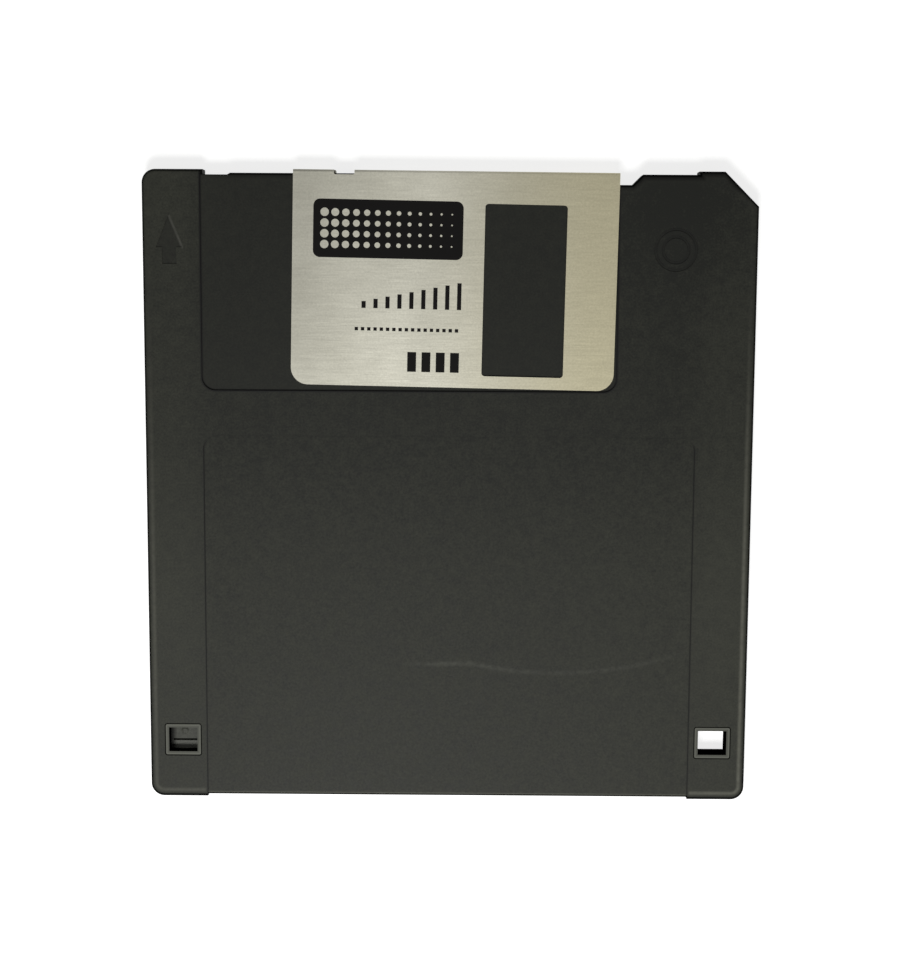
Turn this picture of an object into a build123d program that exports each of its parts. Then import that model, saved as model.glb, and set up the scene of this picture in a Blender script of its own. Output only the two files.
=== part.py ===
from build123d import *
import math
import os

os.makedirs("parts", exist_ok=True)

# A 90 mm floppy disk lying on its rear face, label side up. The origin is the bottom
# centre of the case, +X the right-hand side, +Y the shutter edge, +Z out of the label
# face. The shutter is closed and the write-protect slider covers its hole.

# Case: two moulded halves that meet at mid-height
case_width = 90.0
case_depth = 94.0
case_thickness = 3.3
plate_thickness = 1.0  # front and rear plates
rim_thickness = 1.5  # side walls
corner_radius = 2.0
key_corner = 5.0  # 45 degree corner that keeps the disk from going in upside down
edge_radius = 0.5  # rounding of the outer edges
joint_gap = 0.15  # clearance between one half's features and the other half
seam_depth = 0.12  # groove round the case where the halves meet
seam_height = 0.12

# Shutter edge of the case
edge_recess = 0.52  # the edge lies this far back from the two corners
left_corner_length = 8.9
right_corner_length = 8.75
dip_depth = 0.25
dip_length = 3.6
dip_slope = 0.45
notch_start = 17.0  # lever notch, from the right-hand side of the case
notch_length = 15.3
notch_depth = 1.5

# Label recess, which wraps round the bottom edge
label_side_margin = 8.62
label_top_margin = 38.87  # from the corners of the shutter edge
label_rear_length = 16.0
label_recess = 0.2
label_edge_recess = 0.28
label_corner_radius = 2.0

# Shutter: a folded steel sheet in a shallow recess of both faces
sheet_thickness = 0.2
shutter_width = 47.55
shutter_reach = 31.6  # from the case's shutter edge down the face
shutter_centre_x = 0.38
shutter_corner_radius = 2.5
shutter_travel = 12.0
fold_radius = 0.35
face_gap = 0.05  # sheet to recess floor
edge_gap = 0.04  # fold to case edge, where they are nearest
sheet_inset = 0.02  # sheet below the case's faces
outline_skew = 1.0  # degrees, clockwise: the sheet sits askew in its play
fold_skew = 0.42  # degrees, clockwise: what the case edge allows the fold
track_left_margin = 0.83  # recess past the sheet when the shutter is open
track_right_margin = 0.25  # recess past the sheet when the shutter is closed
track_side_gap = 0.61  # recess past the sheet's lower edge
track_corner_radius = 2.0

# Window of the shutter and head windows of the case
window_width = 12.0
window_length = 25.1
window_offset_x = 10.3  # from the shutter's centre line
window_inset = 1.78  # from the shutter's lower edge
window_corner_radius = 0.5
head_window_width = 9.0
head_window_start = 19.5  # from the hub's centre
head_window_radius = 1.0

# Hook tab of the shutter, bent in from the left end of a cut-out in the fold. It passes
# through a slot in the front half, over the rail of the rear half, and turns down behind it
cut_out_left = -17.3  # from the shutter's centre line
cut_out_width = 3.0
cut_out_reach = 0.5  # into both plates, from the inside of the fold
cut_out_radius = 0.25
hook_bend_radius = 0.3
hook_arm_height = 0.45
hook_height_gap = 0.1  # arm above the rail and under the slot's roof
hook_reach_gap = 0.1  # lip behind the rail
hook_lip_width = 0.5
hook_lip_drop = 0.6  # lip below the arm
hook_stop_gap = 0.1

# Magnetic disk and its hub
hub_y = -1.6
film_thickness = 0.08
film_gap_below = 0.11  # film above the rim of the access hole
film_hole_clearance = 0.3
adhesive_thickness = 0.05
adhesive_margin = 0.2
hub_diameter = 25.0
hub_flange_width = 3.0
hub_thickness = 0.3
hub_depth = 1.36  # face to flange
hub_bend_radius = 0.5
spindle_square = 4.0
spindle_corner = 0.3
drive_slot_length = 8.0
drive_slot_width = 4.5
drive_slot_radius = 9.0
drive_slot_corner = 1.0
drive_slot_angle = 15.0

# Disk chamber
chamber_wall = 1.7  # least wall between the chamber and the sides of the case
chamber_clearance = 0.4
ring_thickness = 1.1
access_clearance = 0.75  # access hole round the hub
access_rim_width = 1.35
access_rim_height = 0.5
access_chamfer = 0.2

# Liners, lifter and wear plate
liner_thickness = 0.25
liner_bore_diameter = 36.0
liner_gap = 0.9  # liner inside the chamber wall
liner_window_margin = 1.5
lifter_length = 11.0
lifter_width = 8.0
lifter_thickness = 0.1
lifter_pocket_depth = 0.3
lifter_pocket_gap = 0.3
lifter_y = 4.0
wear_plate_diameter = 8.0
wear_plate_thickness = 0.2

# Locating holes, write-protect hole and capacity hole
locating_side_inset = 5.0
locating_top_inset = 17.6
locating_diameter = 3.6
locating_slot_length = 4.4
locating_straight = 1.2
locating_depth = 2.0
locating_tip_diameter = 1.5
locating_wall = 1.2
hole_side_inset = 5.0
hole_bottom_inset = 8.87
hole_width = 4.3
hole_length = 3.7
collar_wall = 0.5
collar_inset = 0.02

# Write-protect slider and its channel
slider_margin = 0.5  # slider past the hole at either end
slider_travel = 4.3
slider_flange_width = 5.0
slider_stem_width = 4.2
slider_flange_thickness = 0.8
slider_play = 0.1
slider_end_gap = 0.12
slider_recess = 0.1  # stem below the rear face
slot_depth = 0.55
housing_wall = 0.7
housing_roof = 0.65
slider_groove_width = 0.3
slider_groove_length = 3.6
slider_groove_depth = 0.5
slider_bump_diameter = 1.2
slider_bump_height = 0.15
slider_bump_offset = 0.9
slider_pocket_width = 3.2
slider_pocket_length = 1.25
slider_pocket_corner = 0.35
slider_pocket_depth = 0.35

# Weld posts and ribs
post_diameter = 2.6
pin_diameter = 1.0
pin_height = 0.45
pin_clearance = 0.05
post_inset = 3.0  # from the sides of the case
corner_post_inset = 3.8  # from the corners of the shutter edge
key_post_inset = 6.0  # from the side that the cut corner shortens
edge_post_left = -9.0
edge_post_right = 7.5
edge_post_overlap = 0.2  # post grown into the rim
side_post_inset = 19.0  # from the bottom edge
foot_post_side_inset = 12.0
foot_post_inset = 3.6
rib_thickness = 1.0
upper_rib_inset = 11.0
lower_rib_inset = 27.0

# Handling notches at the sides of the rear half
grip_notch_inset = 29.6  # from the corners of the shutter edge
grip_notch_length = 3.0
grip_notch_depth = 2.0
grip_notch_height = 1.2
grip_pad_wall = 1.0

# Relief marks on the front
mark_depth = 0.12
arrow_side_inset = 3.95
arrow_top_inset = 13.7
arrow_length = 7.3
arrow_head_length = 4.9
arrow_head_width = 3.85
arrow_stem_width = 2.1
ring_mark_side_inset = 12.0
ring_mark_top_inset = 11.3
ring_mark_radii = (3.2, 2.1)
ring_mark_line = 0.45

# Shutter spring
wire_diameter = 0.35
coil_pitch = 0.38
coil_radius = 1.6
coil_side_inset = 16.0
coil_top_inset = 8.7
spring_turns = 1
spring_seat_gap = 0.08
spring_leg = 0.75

# Derived levels and edges
half_width = case_width / 2
half_depth = case_depth / 2
parting = case_thickness / 2
floor_top = plate_thickness
roof_bottom = case_thickness - plate_thickness
edge_y = half_depth - edge_recess
track_depth = sheet_inset + sheet_thickness + face_gap
hole_span_y = hole_length + 2 * slider_margin
label_width = case_width - 2 * label_side_margin
label_top = half_depth - label_top_margin
chamber_radius = min(half_width, half_depth + hub_y) - chamber_wall
film_diameter = 2 * (chamber_radius - chamber_clearance)
ring_radius = chamber_radius + ring_thickness
access_radius = hub_diameter / 2 + access_clearance
access_rim_top = floor_top + access_rim_height
film_bottom = access_rim_top + film_gap_below
film_top = film_bottom + film_thickness
flange_bottom = film_top + adhesive_thickness
hub_face = flange_bottom - hub_depth
hub_flange_diameter = hub_diameter + 2 * hub_flange_width
shutter_left = shutter_centre_x - shutter_width / 2
shutter_bottom = edge_y - shutter_reach + edge_recess
fold_y = edge_y + edge_gap + shutter_width / 2 * math.tan(math.radians(fold_skew))
skew_reach = shutter_reach / 2 * math.sin(math.radians(outline_skew))
track_left = shutter_left - shutter_travel - skew_reach - track_left_margin
track_right = shutter_left + shutter_width + skew_reach + track_right_margin
hook_right = shutter_centre_x + cut_out_left + hook_bend_radius
hook_left = hook_right - sheet_thickness
hook_bottom = parting + hook_height_gap
lip_low = edge_y - rim_thickness - hook_reach_gap - hook_lip_width
fold_rise = -cut_out_left * math.tan(math.radians(fold_skew))  # of the fold at the hook
notch_right = half_width - notch_start
notch_left = notch_right - notch_length
notch_floor = edge_y - notch_depth
locating_x = half_width - locating_side_inset
locating_y = half_depth - locating_top_inset
hole_x = half_width - hole_side_inset
hole_y = -half_depth + hole_bottom_inset
grip_notch_y = half_depth - grip_notch_inset
arrow_x = -half_width + arrow_side_inset
arrow_y = half_depth - arrow_top_inset
ring_mark_x = half_width - ring_mark_side_inset
ring_mark_y = half_depth - ring_mark_top_inset
coil_x = -half_width + coil_side_inset
coil_y = half_depth - coil_top_inset
lifter_x = -(liner_bore_diameter / 2 + chamber_radius) / 2
hub_plane = Plane((0, hub_y, 0))
hub_section_plane = Plane((0, hub_y, 0), x_dir=(1, 0, 0), z_dir=(0, -1, 0))
hub_axis = Axis((0, hub_y, 0), (0, 0, 1))
blank_plane = Plane(Location((shutter_centre_x, shutter_bottom, 0), (0, 0, -outline_skew)))
square_holes = [(-hole_x, hole_y), (hole_x, hole_y)]
post_x = half_width - post_inset
corner_post_y = half_depth - corner_post_inset
edge_post_y = edge_y - rim_thickness - post_diameter / 2 + edge_post_overlap
foot_post_x = half_width - foot_post_side_inset
foot_post_y = -half_depth + foot_post_inset
posts = [
    (-post_x, corner_post_y),
    (half_width - key_post_inset, corner_post_y),
    (edge_post_left, edge_post_y),
    (edge_post_right, edge_post_y),
    (-post_x, -half_depth + side_post_inset),
    (post_x, -half_depth + side_post_inset),
    (-foot_post_x, foot_post_y),
    (foot_post_x, foot_post_y),
]
bottom_ribs = [(-half_width / 2, -half_depth), (0, -half_depth), (half_width / 2, -half_depth)]
side_ribs = [
    (half_width, half_depth - upper_rib_inset),
    (half_width, -half_depth + lower_rib_inset),
    (-half_width, -half_depth + lower_rib_inset),
]

# Outline of the case, with the shutter edge, its dip and the lever notch
with BuildSketch() as base_outline:
    Rectangle(case_width, case_depth)
    fillet(base_outline.vertices().filter_by(lambda v: v.X < 0 or v.Y < 0), corner_radius)
    key = base_outline.vertices().sort_by(lambda v: v.X + v.Y)[-1]
    chamfer(key, key_corner)

with BuildSketch() as edge_cuts:
    with Locations((-half_width + left_corner_length, edge_y)):
        Rectangle(
            case_width - left_corner_length - right_corner_length,
            2 * edge_recess,
            align=(Align.MIN, Align.MIN),
        )
    with BuildLine():
        Polyline(
            (notch_right, edge_y),
            (notch_right - notch_depth, notch_floor),
            (notch_left + notch_depth, notch_floor),
            (notch_left, edge_y),
            close=True,
        )
    make_face()
    with BuildLine():
        Polyline(
            (-half_width + left_corner_length, edge_y),
            (-half_width + left_corner_length, edge_y - dip_depth),
            (-half_width + left_corner_length + dip_length, edge_y - dip_depth),
            (-half_width + left_corner_length + dip_length + dip_slope, edge_y),
            close=True,
        )
    make_face()

# The block that the label recess leaves, rounded along its bottom edges
with BuildPart() as label_core:
    with BuildSketch(Plane.XY.offset(label_recess)):
        with Locations((0, -half_depth + label_edge_recess)):
            Rectangle(case_width, case_depth, align=(Align.CENTER, Align.MIN))
    extrude(amount=case_thickness - 2 * label_recess)
    fillet(label_core.edges().filter_by(Axis.X).group_by(Axis.Y)[0], edge_radius)

with BuildPart() as label_zone:
    with BuildSketch(Plane.XY.offset(parting)) as label_front:
        with Locations((0, label_top)):
            Rectangle(label_width, case_depth, align=(Align.CENTER, Align.MAX))
        fillet(label_front.vertices().group_by(Axis.Y)[-1], label_corner_radius)
    extrude(amount=case_thickness)
    with BuildSketch(Plane.XY.offset(parting)) as label_rear:
        with Locations((0, -half_depth + label_rear_length)):
            Rectangle(label_width, case_depth, align=(Align.CENTER, Align.MAX))
        fillet(label_rear.vertices().group_by(Axis.Y)[-1], label_corner_radius)
    extrude(amount=-case_thickness)
    add(label_core.part, mode=Mode.SUBTRACT)

# Recess of the shutter, the same on both faces
with BuildSketch() as track:
    with Locations((track_left, shutter_bottom - track_side_gap)):
        Rectangle(track_right - track_left, case_depth, align=(Align.MIN, Align.MIN))
    fillet(track.vertices().group_by(Axis.Y)[0], track_corner_radius)

with BuildSketch() as head_window:
    with Locations((0, hub_y + head_window_start)):
        Rectangle(
            head_window_width,
            chamber_radius - head_window_start,
            align=(Align.CENTER, Align.MIN),
        )
    fillet(head_window.vertices(), head_window_radius)

# Band along the outside of the case, from which the seam is cut
with BuildSketch() as seam:
    add(base_outline.sketch)
    add(edge_cuts.sketch, mode=Mode.SUBTRACT)
    with Locations((0, -half_depth)):
        Rectangle(
            label_width, label_edge_recess, align=(Align.CENTER, Align.MIN), mode=Mode.SUBTRACT
        )
    offset(amount=-seam_depth, mode=Mode.SUBTRACT)

# Outer form of the whole case, before it is parted
with BuildPart() as case_form:
    add(base_outline.sketch)
    extrude(amount=case_thickness)
    fillet(case_form.edges().group_by(Axis.Z)[-1], edge_radius)
    fillet(case_form.edges().group_by(Axis.Z)[0], edge_radius)
    add(edge_cuts.sketch)
    extrude(amount=case_thickness, mode=Mode.SUBTRACT)
    add(label_zone.part, mode=Mode.SUBTRACT)
    with BuildSketch(Plane.XY.offset(case_thickness)):
        add(track.sketch)
    extrude(amount=-track_depth, mode=Mode.SUBTRACT)
    add(track.sketch)
    extrude(amount=track_depth, mode=Mode.SUBTRACT)

# Plan of the hollow inside: the round disk chamber and the spaces in the corners
with BuildSketch() as hollow:
    add(base_outline.sketch)
    offset(amount=-rim_thickness, mode=Mode.REPLACE)
    with Locations((0, edge_y - rim_thickness)):
        Rectangle(case_width, case_depth, align=(Align.CENTER, Align.MIN), mode=Mode.SUBTRACT)
    with Locations((notch_left - rim_thickness, notch_floor - rim_thickness)):
        Rectangle(
            notch_length + 2 * rim_thickness,
            notch_depth + 2 * rim_thickness,
            align=(Align.MIN, Align.MIN),
            mode=Mode.SUBTRACT,
        )
    with Locations((0, hub_y)):
        Circle(ring_radius, mode=Mode.SUBTRACT)
    with Locations(*posts):
        Circle(post_diameter / 2, mode=Mode.SUBTRACT)
    with Locations((-half_width, grip_notch_y), (half_width, grip_notch_y)):
        Rectangle(
            2 * (grip_notch_depth + grip_pad_wall),
            grip_notch_length + 2 * grip_pad_wall,
            mode=Mode.SUBTRACT,
        )
    with Locations(*bottom_ribs):
        Rectangle(rib_thickness, case_depth / 2, mode=Mode.SUBTRACT)
    with Locations(*side_ribs):
        Rectangle(case_width / 2, rib_thickness, mode=Mode.SUBTRACT)
    with Locations((0, hub_y)):
        Circle(chamber_radius)

# Rear half: hub access, locating holes, square collars and the rail of the shutter
with BuildPart() as rear_shell:
    add(case_form.part)
    split(bisect_by=Plane.XY.offset(parting), keep=Keep.BOTTOM)
    with BuildSketch(Plane.XY.offset(floor_top)):
        add(hollow.sketch)
    extrude(amount=case_thickness, mode=Mode.SUBTRACT)
    with BuildSketch(Plane.XY.offset(floor_top)):
        with Locations((0, hub_y)):
            Circle(access_radius + access_rim_width)
    extrude(amount=access_rim_height)
    with Locations(hub_plane):
        Hole(access_radius)
    rear_circles = rear_shell.edges().filter_by(GeomType.CIRCLE).group_by(Axis.Z)[0]
    chamfer(rear_circles.sort_by(SortBy.RADIUS)[-1], access_chamfer)
    add(head_window.sketch)
    extrude(amount=case_thickness, mode=Mode.SUBTRACT)

    # Closed bosses of the locating holes, which narrow behind their straight mouth
    with BuildSketch():
        with Locations((-locating_x, locating_y)):
            Circle(locating_diameter / 2 + locating_wall)
        with Locations((locating_x, locating_y)):
            SlotOverall(
                locating_slot_length + 2 * locating_wall, locating_diameter + 2 * locating_wall
            )
    extrude(amount=roof_bottom - joint_gap / 2)
    narrowing = (locating_diameter - locating_tip_diameter) / 2
    cone_depth = locating_depth - locating_straight
    cone_angle = math.degrees(math.atan2(narrowing, cone_depth))
    with BuildSketch() as locating_mouths:
        with Locations((-locating_x, locating_y)):
            Circle(locating_diameter / 2)
        with Locations((locating_x, locating_y)):
            SlotOverall(locating_slot_length, locating_diameter)
    extrude(amount=locating_straight, mode=Mode.SUBTRACT)
    with BuildSketch(Plane.XY.offset(locating_straight)):
        add(locating_mouths.sketch)
    extrude(amount=cone_depth, taper=cone_angle, mode=Mode.SUBTRACT)

    # Collars that rise through the front half round both square holes
    with BuildSketch():
        with Locations(*square_holes):
            RectangleRounded(
                hole_width + 2 * collar_wall, hole_length + 2 * collar_wall, collar_wall / 2
            )
    extrude(amount=case_thickness - collar_inset)

    # Housing of the write-protect slider
    channel_top = slot_depth + slider_flange_thickness + slider_play
    channel_high = hole_y + hole_span_y / 2 + slider_end_gap
    channel_low = hole_y - hole_span_y / 2 - slider_travel - slider_end_gap
    channel_length = channel_high - channel_low
    housing_low = -half_depth + rim_thickness + joint_gap
    channel_width = slider_flange_width + 2 * slider_play
    slot_width = slider_stem_width + 2 * slider_play
    with BuildSketch():
        with Locations((-hole_x, channel_high + housing_wall)):
            Rectangle(
                channel_width + 2 * housing_wall,
                channel_high + housing_wall - housing_low,
                align=(Align.CENTER, Align.MAX),
            )
    extrude(amount=channel_top + housing_roof)
    with BuildSketch():
        with Locations((-hole_x, channel_high)):
            Rectangle(slot_width, channel_length, align=(Align.CENTER, Align.MAX))
    extrude(amount=slot_depth, mode=Mode.SUBTRACT)
    with BuildSketch(Plane.XY.offset(slot_depth)):
        with Locations((-hole_x, channel_high)):
            Rectangle(channel_width, channel_length, align=(Align.CENTER, Align.MAX))
    extrude(amount=channel_top - slot_depth, mode=Mode.SUBTRACT)
    with BuildSketch(Plane.XY.offset(channel_top)):
        with Locations((-hole_x, channel_high)):
            Rectangle(
                slider_bump_diameter + 2 * slider_play,
                channel_length,
                align=(Align.CENTER, Align.MAX),
            )
    extrude(amount=slider_bump_height, mode=Mode.SUBTRACT)
    with BuildSketch():
        with Locations(*square_holes):
            Rectangle(hole_width, hole_length)
    extrude(amount=case_thickness, mode=Mode.SUBTRACT)

    # Pins of the weld posts, pocket of the lifter and the handling notches
    with BuildSketch(Plane.XY.offset(parting)):
        with Locations(*posts):
            Circle(pin_diameter / 2)
    extrude(amount=pin_height)
    with BuildSketch(Plane.XY.offset(floor_top)):
        with Locations((lifter_x, lifter_y)):
            Rectangle(
                lifter_length + 2 * lifter_pocket_gap, lifter_width + 2 * lifter_pocket_gap
            )
    extrude(amount=-lifter_pocket_depth, mode=Mode.SUBTRACT)
    with BuildSketch():
        with Locations((-half_width, grip_notch_y), (half_width, grip_notch_y)):
            Rectangle(2 * grip_notch_depth, grip_notch_length)
    extrude(amount=grip_notch_height, mode=Mode.SUBTRACT)
rear_shell.part.label = "rear_shell"

# Front half: square cut-outs for the collars, sockets and the hook's slot
with BuildPart() as front_shell:
    add(case_form.part)
    split(bisect_by=Plane.XY.offset(parting), keep=Keep.TOP)
    add(hollow.sketch)
    extrude(amount=roof_bottom, mode=Mode.SUBTRACT)
    add(head_window.sketch)
    extrude(amount=case_thickness, mode=Mode.SUBTRACT)
    with BuildSketch(Plane.XY.offset(parting)):
        with Locations(*posts):
            Circle(pin_diameter / 2 + pin_clearance)
    extrude(amount=pin_height + joint_gap, mode=Mode.SUBTRACT)
    with BuildSketch():
        with Locations(*square_holes):
            RectangleRounded(
                hole_width + 2 * (collar_wall + joint_gap),
                hole_length + 2 * (collar_wall + joint_gap),
                collar_wall / 2 + joint_gap,
            )
    extrude(amount=case_thickness, mode=Mode.SUBTRACT)
    with BuildSketch(Plane.XY.offset(parting)):
        with Locations((hook_right + hook_stop_gap, half_depth)):
            Rectangle(
                sheet_thickness + shutter_travel + 2 * hook_stop_gap,
                half_depth - lip_low + sheet_thickness,
                align=(Align.MAX, Align.MAX),
            )
    extrude(amount=2 * hook_height_gap + hook_arm_height, mode=Mode.SUBTRACT)

    with BuildSketch(Plane.XY.offset(parting)):
        add(seam.sketch)
    extrude(amount=seam_height, mode=Mode.SUBTRACT)

    # Sunk marks on the face: the insertion arrow and a ring sign
    with BuildSketch(Plane.XY.offset(case_thickness)):
        with Locations((arrow_x, arrow_y)):
            Rectangle(
                arrow_stem_width,
                arrow_length - arrow_head_length,
                align=(Align.CENTER, Align.MIN),
            )
        with BuildLine():
            head_y = arrow_y + arrow_length - arrow_head_length
            Polyline(
                (arrow_x - arrow_head_width / 2, head_y),
                (arrow_x + arrow_head_width / 2, head_y),
                (arrow_x, arrow_y + arrow_length),
                close=True,
            )
        make_face()
        for radius in ring_mark_radii:
            with Locations((ring_mark_x, ring_mark_y)):
                Circle(radius)
                Circle(radius - ring_mark_line, mode=Mode.SUBTRACT)
    extrude(amount=-mark_depth, mode=Mode.SUBTRACT)
front_shell.part.label = "front_shell"

# Shutter: the folded sheet cut to its outline, with a window through both plates
with BuildPart() as shutter:
    fold_plane = Plane(Location((shutter_centre_x, fold_y, 0), (0, 0, -fold_skew)))
    section_plane = Plane(fold_plane.origin, x_dir=fold_plane.y_dir, z_dir=fold_plane.x_dir)
    with BuildSketch(section_plane) as fold_section:
        with Locations((sheet_thickness, parting)):
            Rectangle(
                case_depth,
                case_thickness - 2 * sheet_inset,
                align=(Align.MAX, Align.CENTER),
            )
        fillet(fold_section.vertices().group_by(Axis.Y)[-1], fold_radius)
        with BuildSketch(section_plane, mode=Mode.SUBTRACT) as fold_inside:
            with Locations((0, parting)):
                Rectangle(
                    case_depth,
                    case_thickness - 2 * (sheet_inset + sheet_thickness),
                    align=(Align.MAX, Align.CENTER),
                )
            fillet(fold_inside.vertices().group_by(Axis.Y)[-1], fold_radius - sheet_thickness)
    extrude(amount=shutter_width, both=True)
    with BuildSketch(blank_plane) as blank:
        Rectangle(shutter_width, case_depth / 2, align=(Align.CENTER, Align.MIN))
        fillet(blank.vertices().group_by(Axis.Y)[0], shutter_corner_radius)
        with Locations((window_offset_x, window_inset)):
            RectangleRounded(
                window_width,
                window_length,
                window_corner_radius,
                align=(Align.CENTER, Align.MIN),
                mode=Mode.SUBTRACT,
            )
    extrude(amount=case_thickness, mode=Mode.INTERSECT)

    # Cut-out of the fold, and the tab that was bent in from its left end
    with BuildSketch(fold_plane) as cut_out:
        with Locations((cut_out_left, -cut_out_reach)):
            Rectangle(
                cut_out_width, cut_out_reach + 2 * sheet_thickness, align=(Align.MIN, Align.MIN)
            )
        fillet(cut_out.vertices().sort_by(Axis.Y)[:2], cut_out_radius)
    extrude(amount=case_thickness, mode=Mode.SUBTRACT)
    hook_plane = fold_plane.offset(hook_bottom)
    lip_reach = fold_y + fold_rise - lip_low
    with BuildSketch(hook_plane):
        with BuildLine():
            FilletPolyline(
                (cut_out_left - sheet_thickness, sheet_thickness),
                (cut_out_left + hook_bend_radius, sheet_thickness),
                (cut_out_left + hook_bend_radius, -lip_reach),
                radius=hook_bend_radius,
            )
            offset(amount=sheet_thickness, side=Side.RIGHT)
        make_face()
    extrude(amount=hook_arm_height)
    with BuildSketch(hook_plane):
        with Locations((cut_out_left + hook_bend_radius, -lip_reach)):
            Rectangle(sheet_thickness, hook_lip_width, align=(Align.MAX, Align.MIN))
    extrude(amount=-hook_lip_drop)
shutter.part.label = "shutter"

# Spring: a coil with two arms, one in the case corner and one against the hook's lip
corner_side = -half_width + rim_thickness
fixed_end = Vector(
    corner_side + wire_diameter / 2 + spring_seat_gap,
    corner_post_y - post_diameter / 2 - wire_diameter / 2 - spring_seat_gap,
)
moving_end = Vector(
    hook_left - wire_diameter / 2 - spring_seat_gap, lip_low + hook_lip_width / 2
)
coil_centre = Vector(coil_x, coil_y)


def tangent_angle(end, turn):
    """Angle on the coil, in degrees, from which a straight arm runs to its end."""
    away = end - coil_centre
    straight = math.sqrt(away.length**2 - coil_radius**2)
    return math.degrees(math.atan2(away.Y, away.X) + turn * math.atan2(straight, coil_radius))


start_angle = tangent_angle(fixed_end, 1)
end_angle = tangent_angle(moving_end, -1)
sweep_angle = (end_angle - start_angle) % 360 + 360 * spring_turns
coil_height = coil_pitch * sweep_angle / 360
coil_bottom = parting - coil_height / 2
with BuildPart() as spring_coil:
    with BuildLine() as coil_path:
        Helix(coil_pitch, coil_height, coil_radius)
    with BuildSketch(Plane(coil_path.line @ 0, z_dir=coil_path.line % 0)):
        Circle(wire_diameter / 2)
    sweep(path=coil_path.line)
coil = Pos(coil_x, coil_y, coil_bottom) * Rot(0, 0, start_angle) * spring_coil.part
with BuildPart() as shutter_spring:
    add(coil)
    for end, angle, level, turn in (
        (fixed_end, start_angle, coil_bottom, 1),
        (moving_end, end_angle, coil_bottom + coil_height, -1),
    ):
        corner = math.radians(angle)
        near = Vector(
            coil_x + coil_radius * math.cos(corner), coil_y + coil_radius * math.sin(corner), level
        )
        far = Vector(end.X, end.Y, level)
        with BuildSketch(Plane(near, z_dir=far - near)):
            Circle(wire_diameter / 2)
        extrude(amount=(far - near).length)
        with Locations(far):
            Sphere(wire_diameter / 2)
        with BuildSketch(Plane(far, z_dir=(0, 0, turn))):
            Circle(wire_diameter / 2)
        extrude(amount=spring_leg)
shutter_spring.part.label = "shutter_spring"

# Write-protect slider: a flange in the channel and a stem in the rear slot
with BuildPart() as write_protect_slider:
    with BuildSketch(Plane.XY.offset(slot_depth + slider_play / 2)):
        with Locations((-hole_x, hole_y)):
            Rectangle(slider_flange_width, hole_span_y)
    extrude(amount=slider_flange_thickness)
    slider_top = slot_depth + slider_play / 2 + slider_flange_thickness
    with BuildSketch(Plane.XY.offset(slider_recess)):
        with Locations((-hole_x, hole_y)):
            Rectangle(slider_stem_width, hole_span_y)
    extrude(until=Until.NEXT)
    with BuildSketch(Plane.XY.offset(slider_top)):
        with Locations((-hole_x, hole_y - slider_margin)):
            Rectangle(slider_groove_length, slider_groove_width)
    extrude(amount=-slider_groove_depth, mode=Mode.SUBTRACT)
    with Locations((-hole_x, hole_y + slider_bump_offset, slider_top)):
        Cone(
            slider_bump_diameter / 2,
            slider_bump_diameter / 4,
            slider_bump_height,
            align=(Align.CENTER, Align.CENTER, Align.MIN),
        )
    with BuildSketch(Plane.XY.offset(slider_recess)):
        with Locations((-hole_x, hole_y)):
            RectangleRounded(slider_pocket_width, slider_pocket_length, slider_pocket_corner)
    extrude(amount=slider_pocket_depth, mode=Mode.SUBTRACT)
write_protect_slider.part.label = "write_protect_slider"

# Magnetic disk: a thin film with a round hole for the hub
with BuildPart() as magnetic_disk:
    with BuildSketch(hub_plane.offset(film_bottom)):
        Circle(film_diameter / 2)
        Circle(hub_diameter / 2 + film_hole_clearance, mode=Mode.SUBTRACT)
    extrude(amount=film_thickness)
magnetic_disk.part.label = "magnetic_disk"

with BuildPart() as hub_adhesive_ring:
    with BuildSketch(hub_plane.offset(film_top)):
        Circle(hub_flange_diameter / 2 - adhesive_margin)
        Circle(hub_diameter / 2 + film_hole_clearance + adhesive_margin, mode=Mode.SUBTRACT)
    extrude(amount=adhesive_thickness)
hub_adhesive_ring.part.label = "hub_adhesive_ring"

# Hub: a pressed steel cup with a square spindle hole and a drive slot
with BuildPart() as hub:
    with BuildSketch(hub_section_plane):
        with BuildLine() as hub_section:
            FilletPolyline(
                (0, hub_face),
                (hub_diameter / 2, hub_face),
                (hub_diameter / 2, flange_bottom),
                (hub_flange_diameter / 2, flange_bottom),
                radius=hub_bend_radius,
            )
            offset(amount=hub_thickness, side=Side.LEFT)
        make_face()
    revolve(axis=hub_axis)
    with BuildSketch(hub_plane.offset(hub_face)):
        RectangleRounded(spindle_square, spindle_square, spindle_corner)
    extrude(amount=hub_thickness, mode=Mode.SUBTRACT)
    with BuildSketch(hub_plane.offset(hub_face)):
        with PolarLocations(drive_slot_radius, 1, start_angle=drive_slot_angle):
            RectangleRounded(drive_slot_width, drive_slot_length, drive_slot_corner)
    extrude(amount=hub_thickness, mode=Mode.SUBTRACT)
hub.part.label = "hub"

# Liners: soft rings with a gap for the heads, one on each side of the film
with BuildSketch() as liner_outline:
    with Locations((0, hub_y)):
        Circle(chamber_radius - liner_gap)
        Circle(liner_bore_diameter / 2, mode=Mode.SUBTRACT)
    with Locations((0, hub_y)):
        Rectangle(
            head_window_width + 2 * liner_window_margin,
            case_depth,
            align=(Align.CENTER, Align.MIN),
            mode=Mode.SUBTRACT,
        )

with BuildPart() as rear_liner:
    with BuildSketch(Plane.XY.offset(floor_top)):
        add(liner_outline.sketch)
    extrude(amount=liner_thickness)
rear_liner.part.label = "rear_liner"

with BuildPart() as front_liner:
    with BuildSketch(Plane.XY.offset(roof_bottom)):
        add(liner_outline.sketch)
    extrude(amount=-liner_thickness)
front_liner.part.label = "front_liner"

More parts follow.
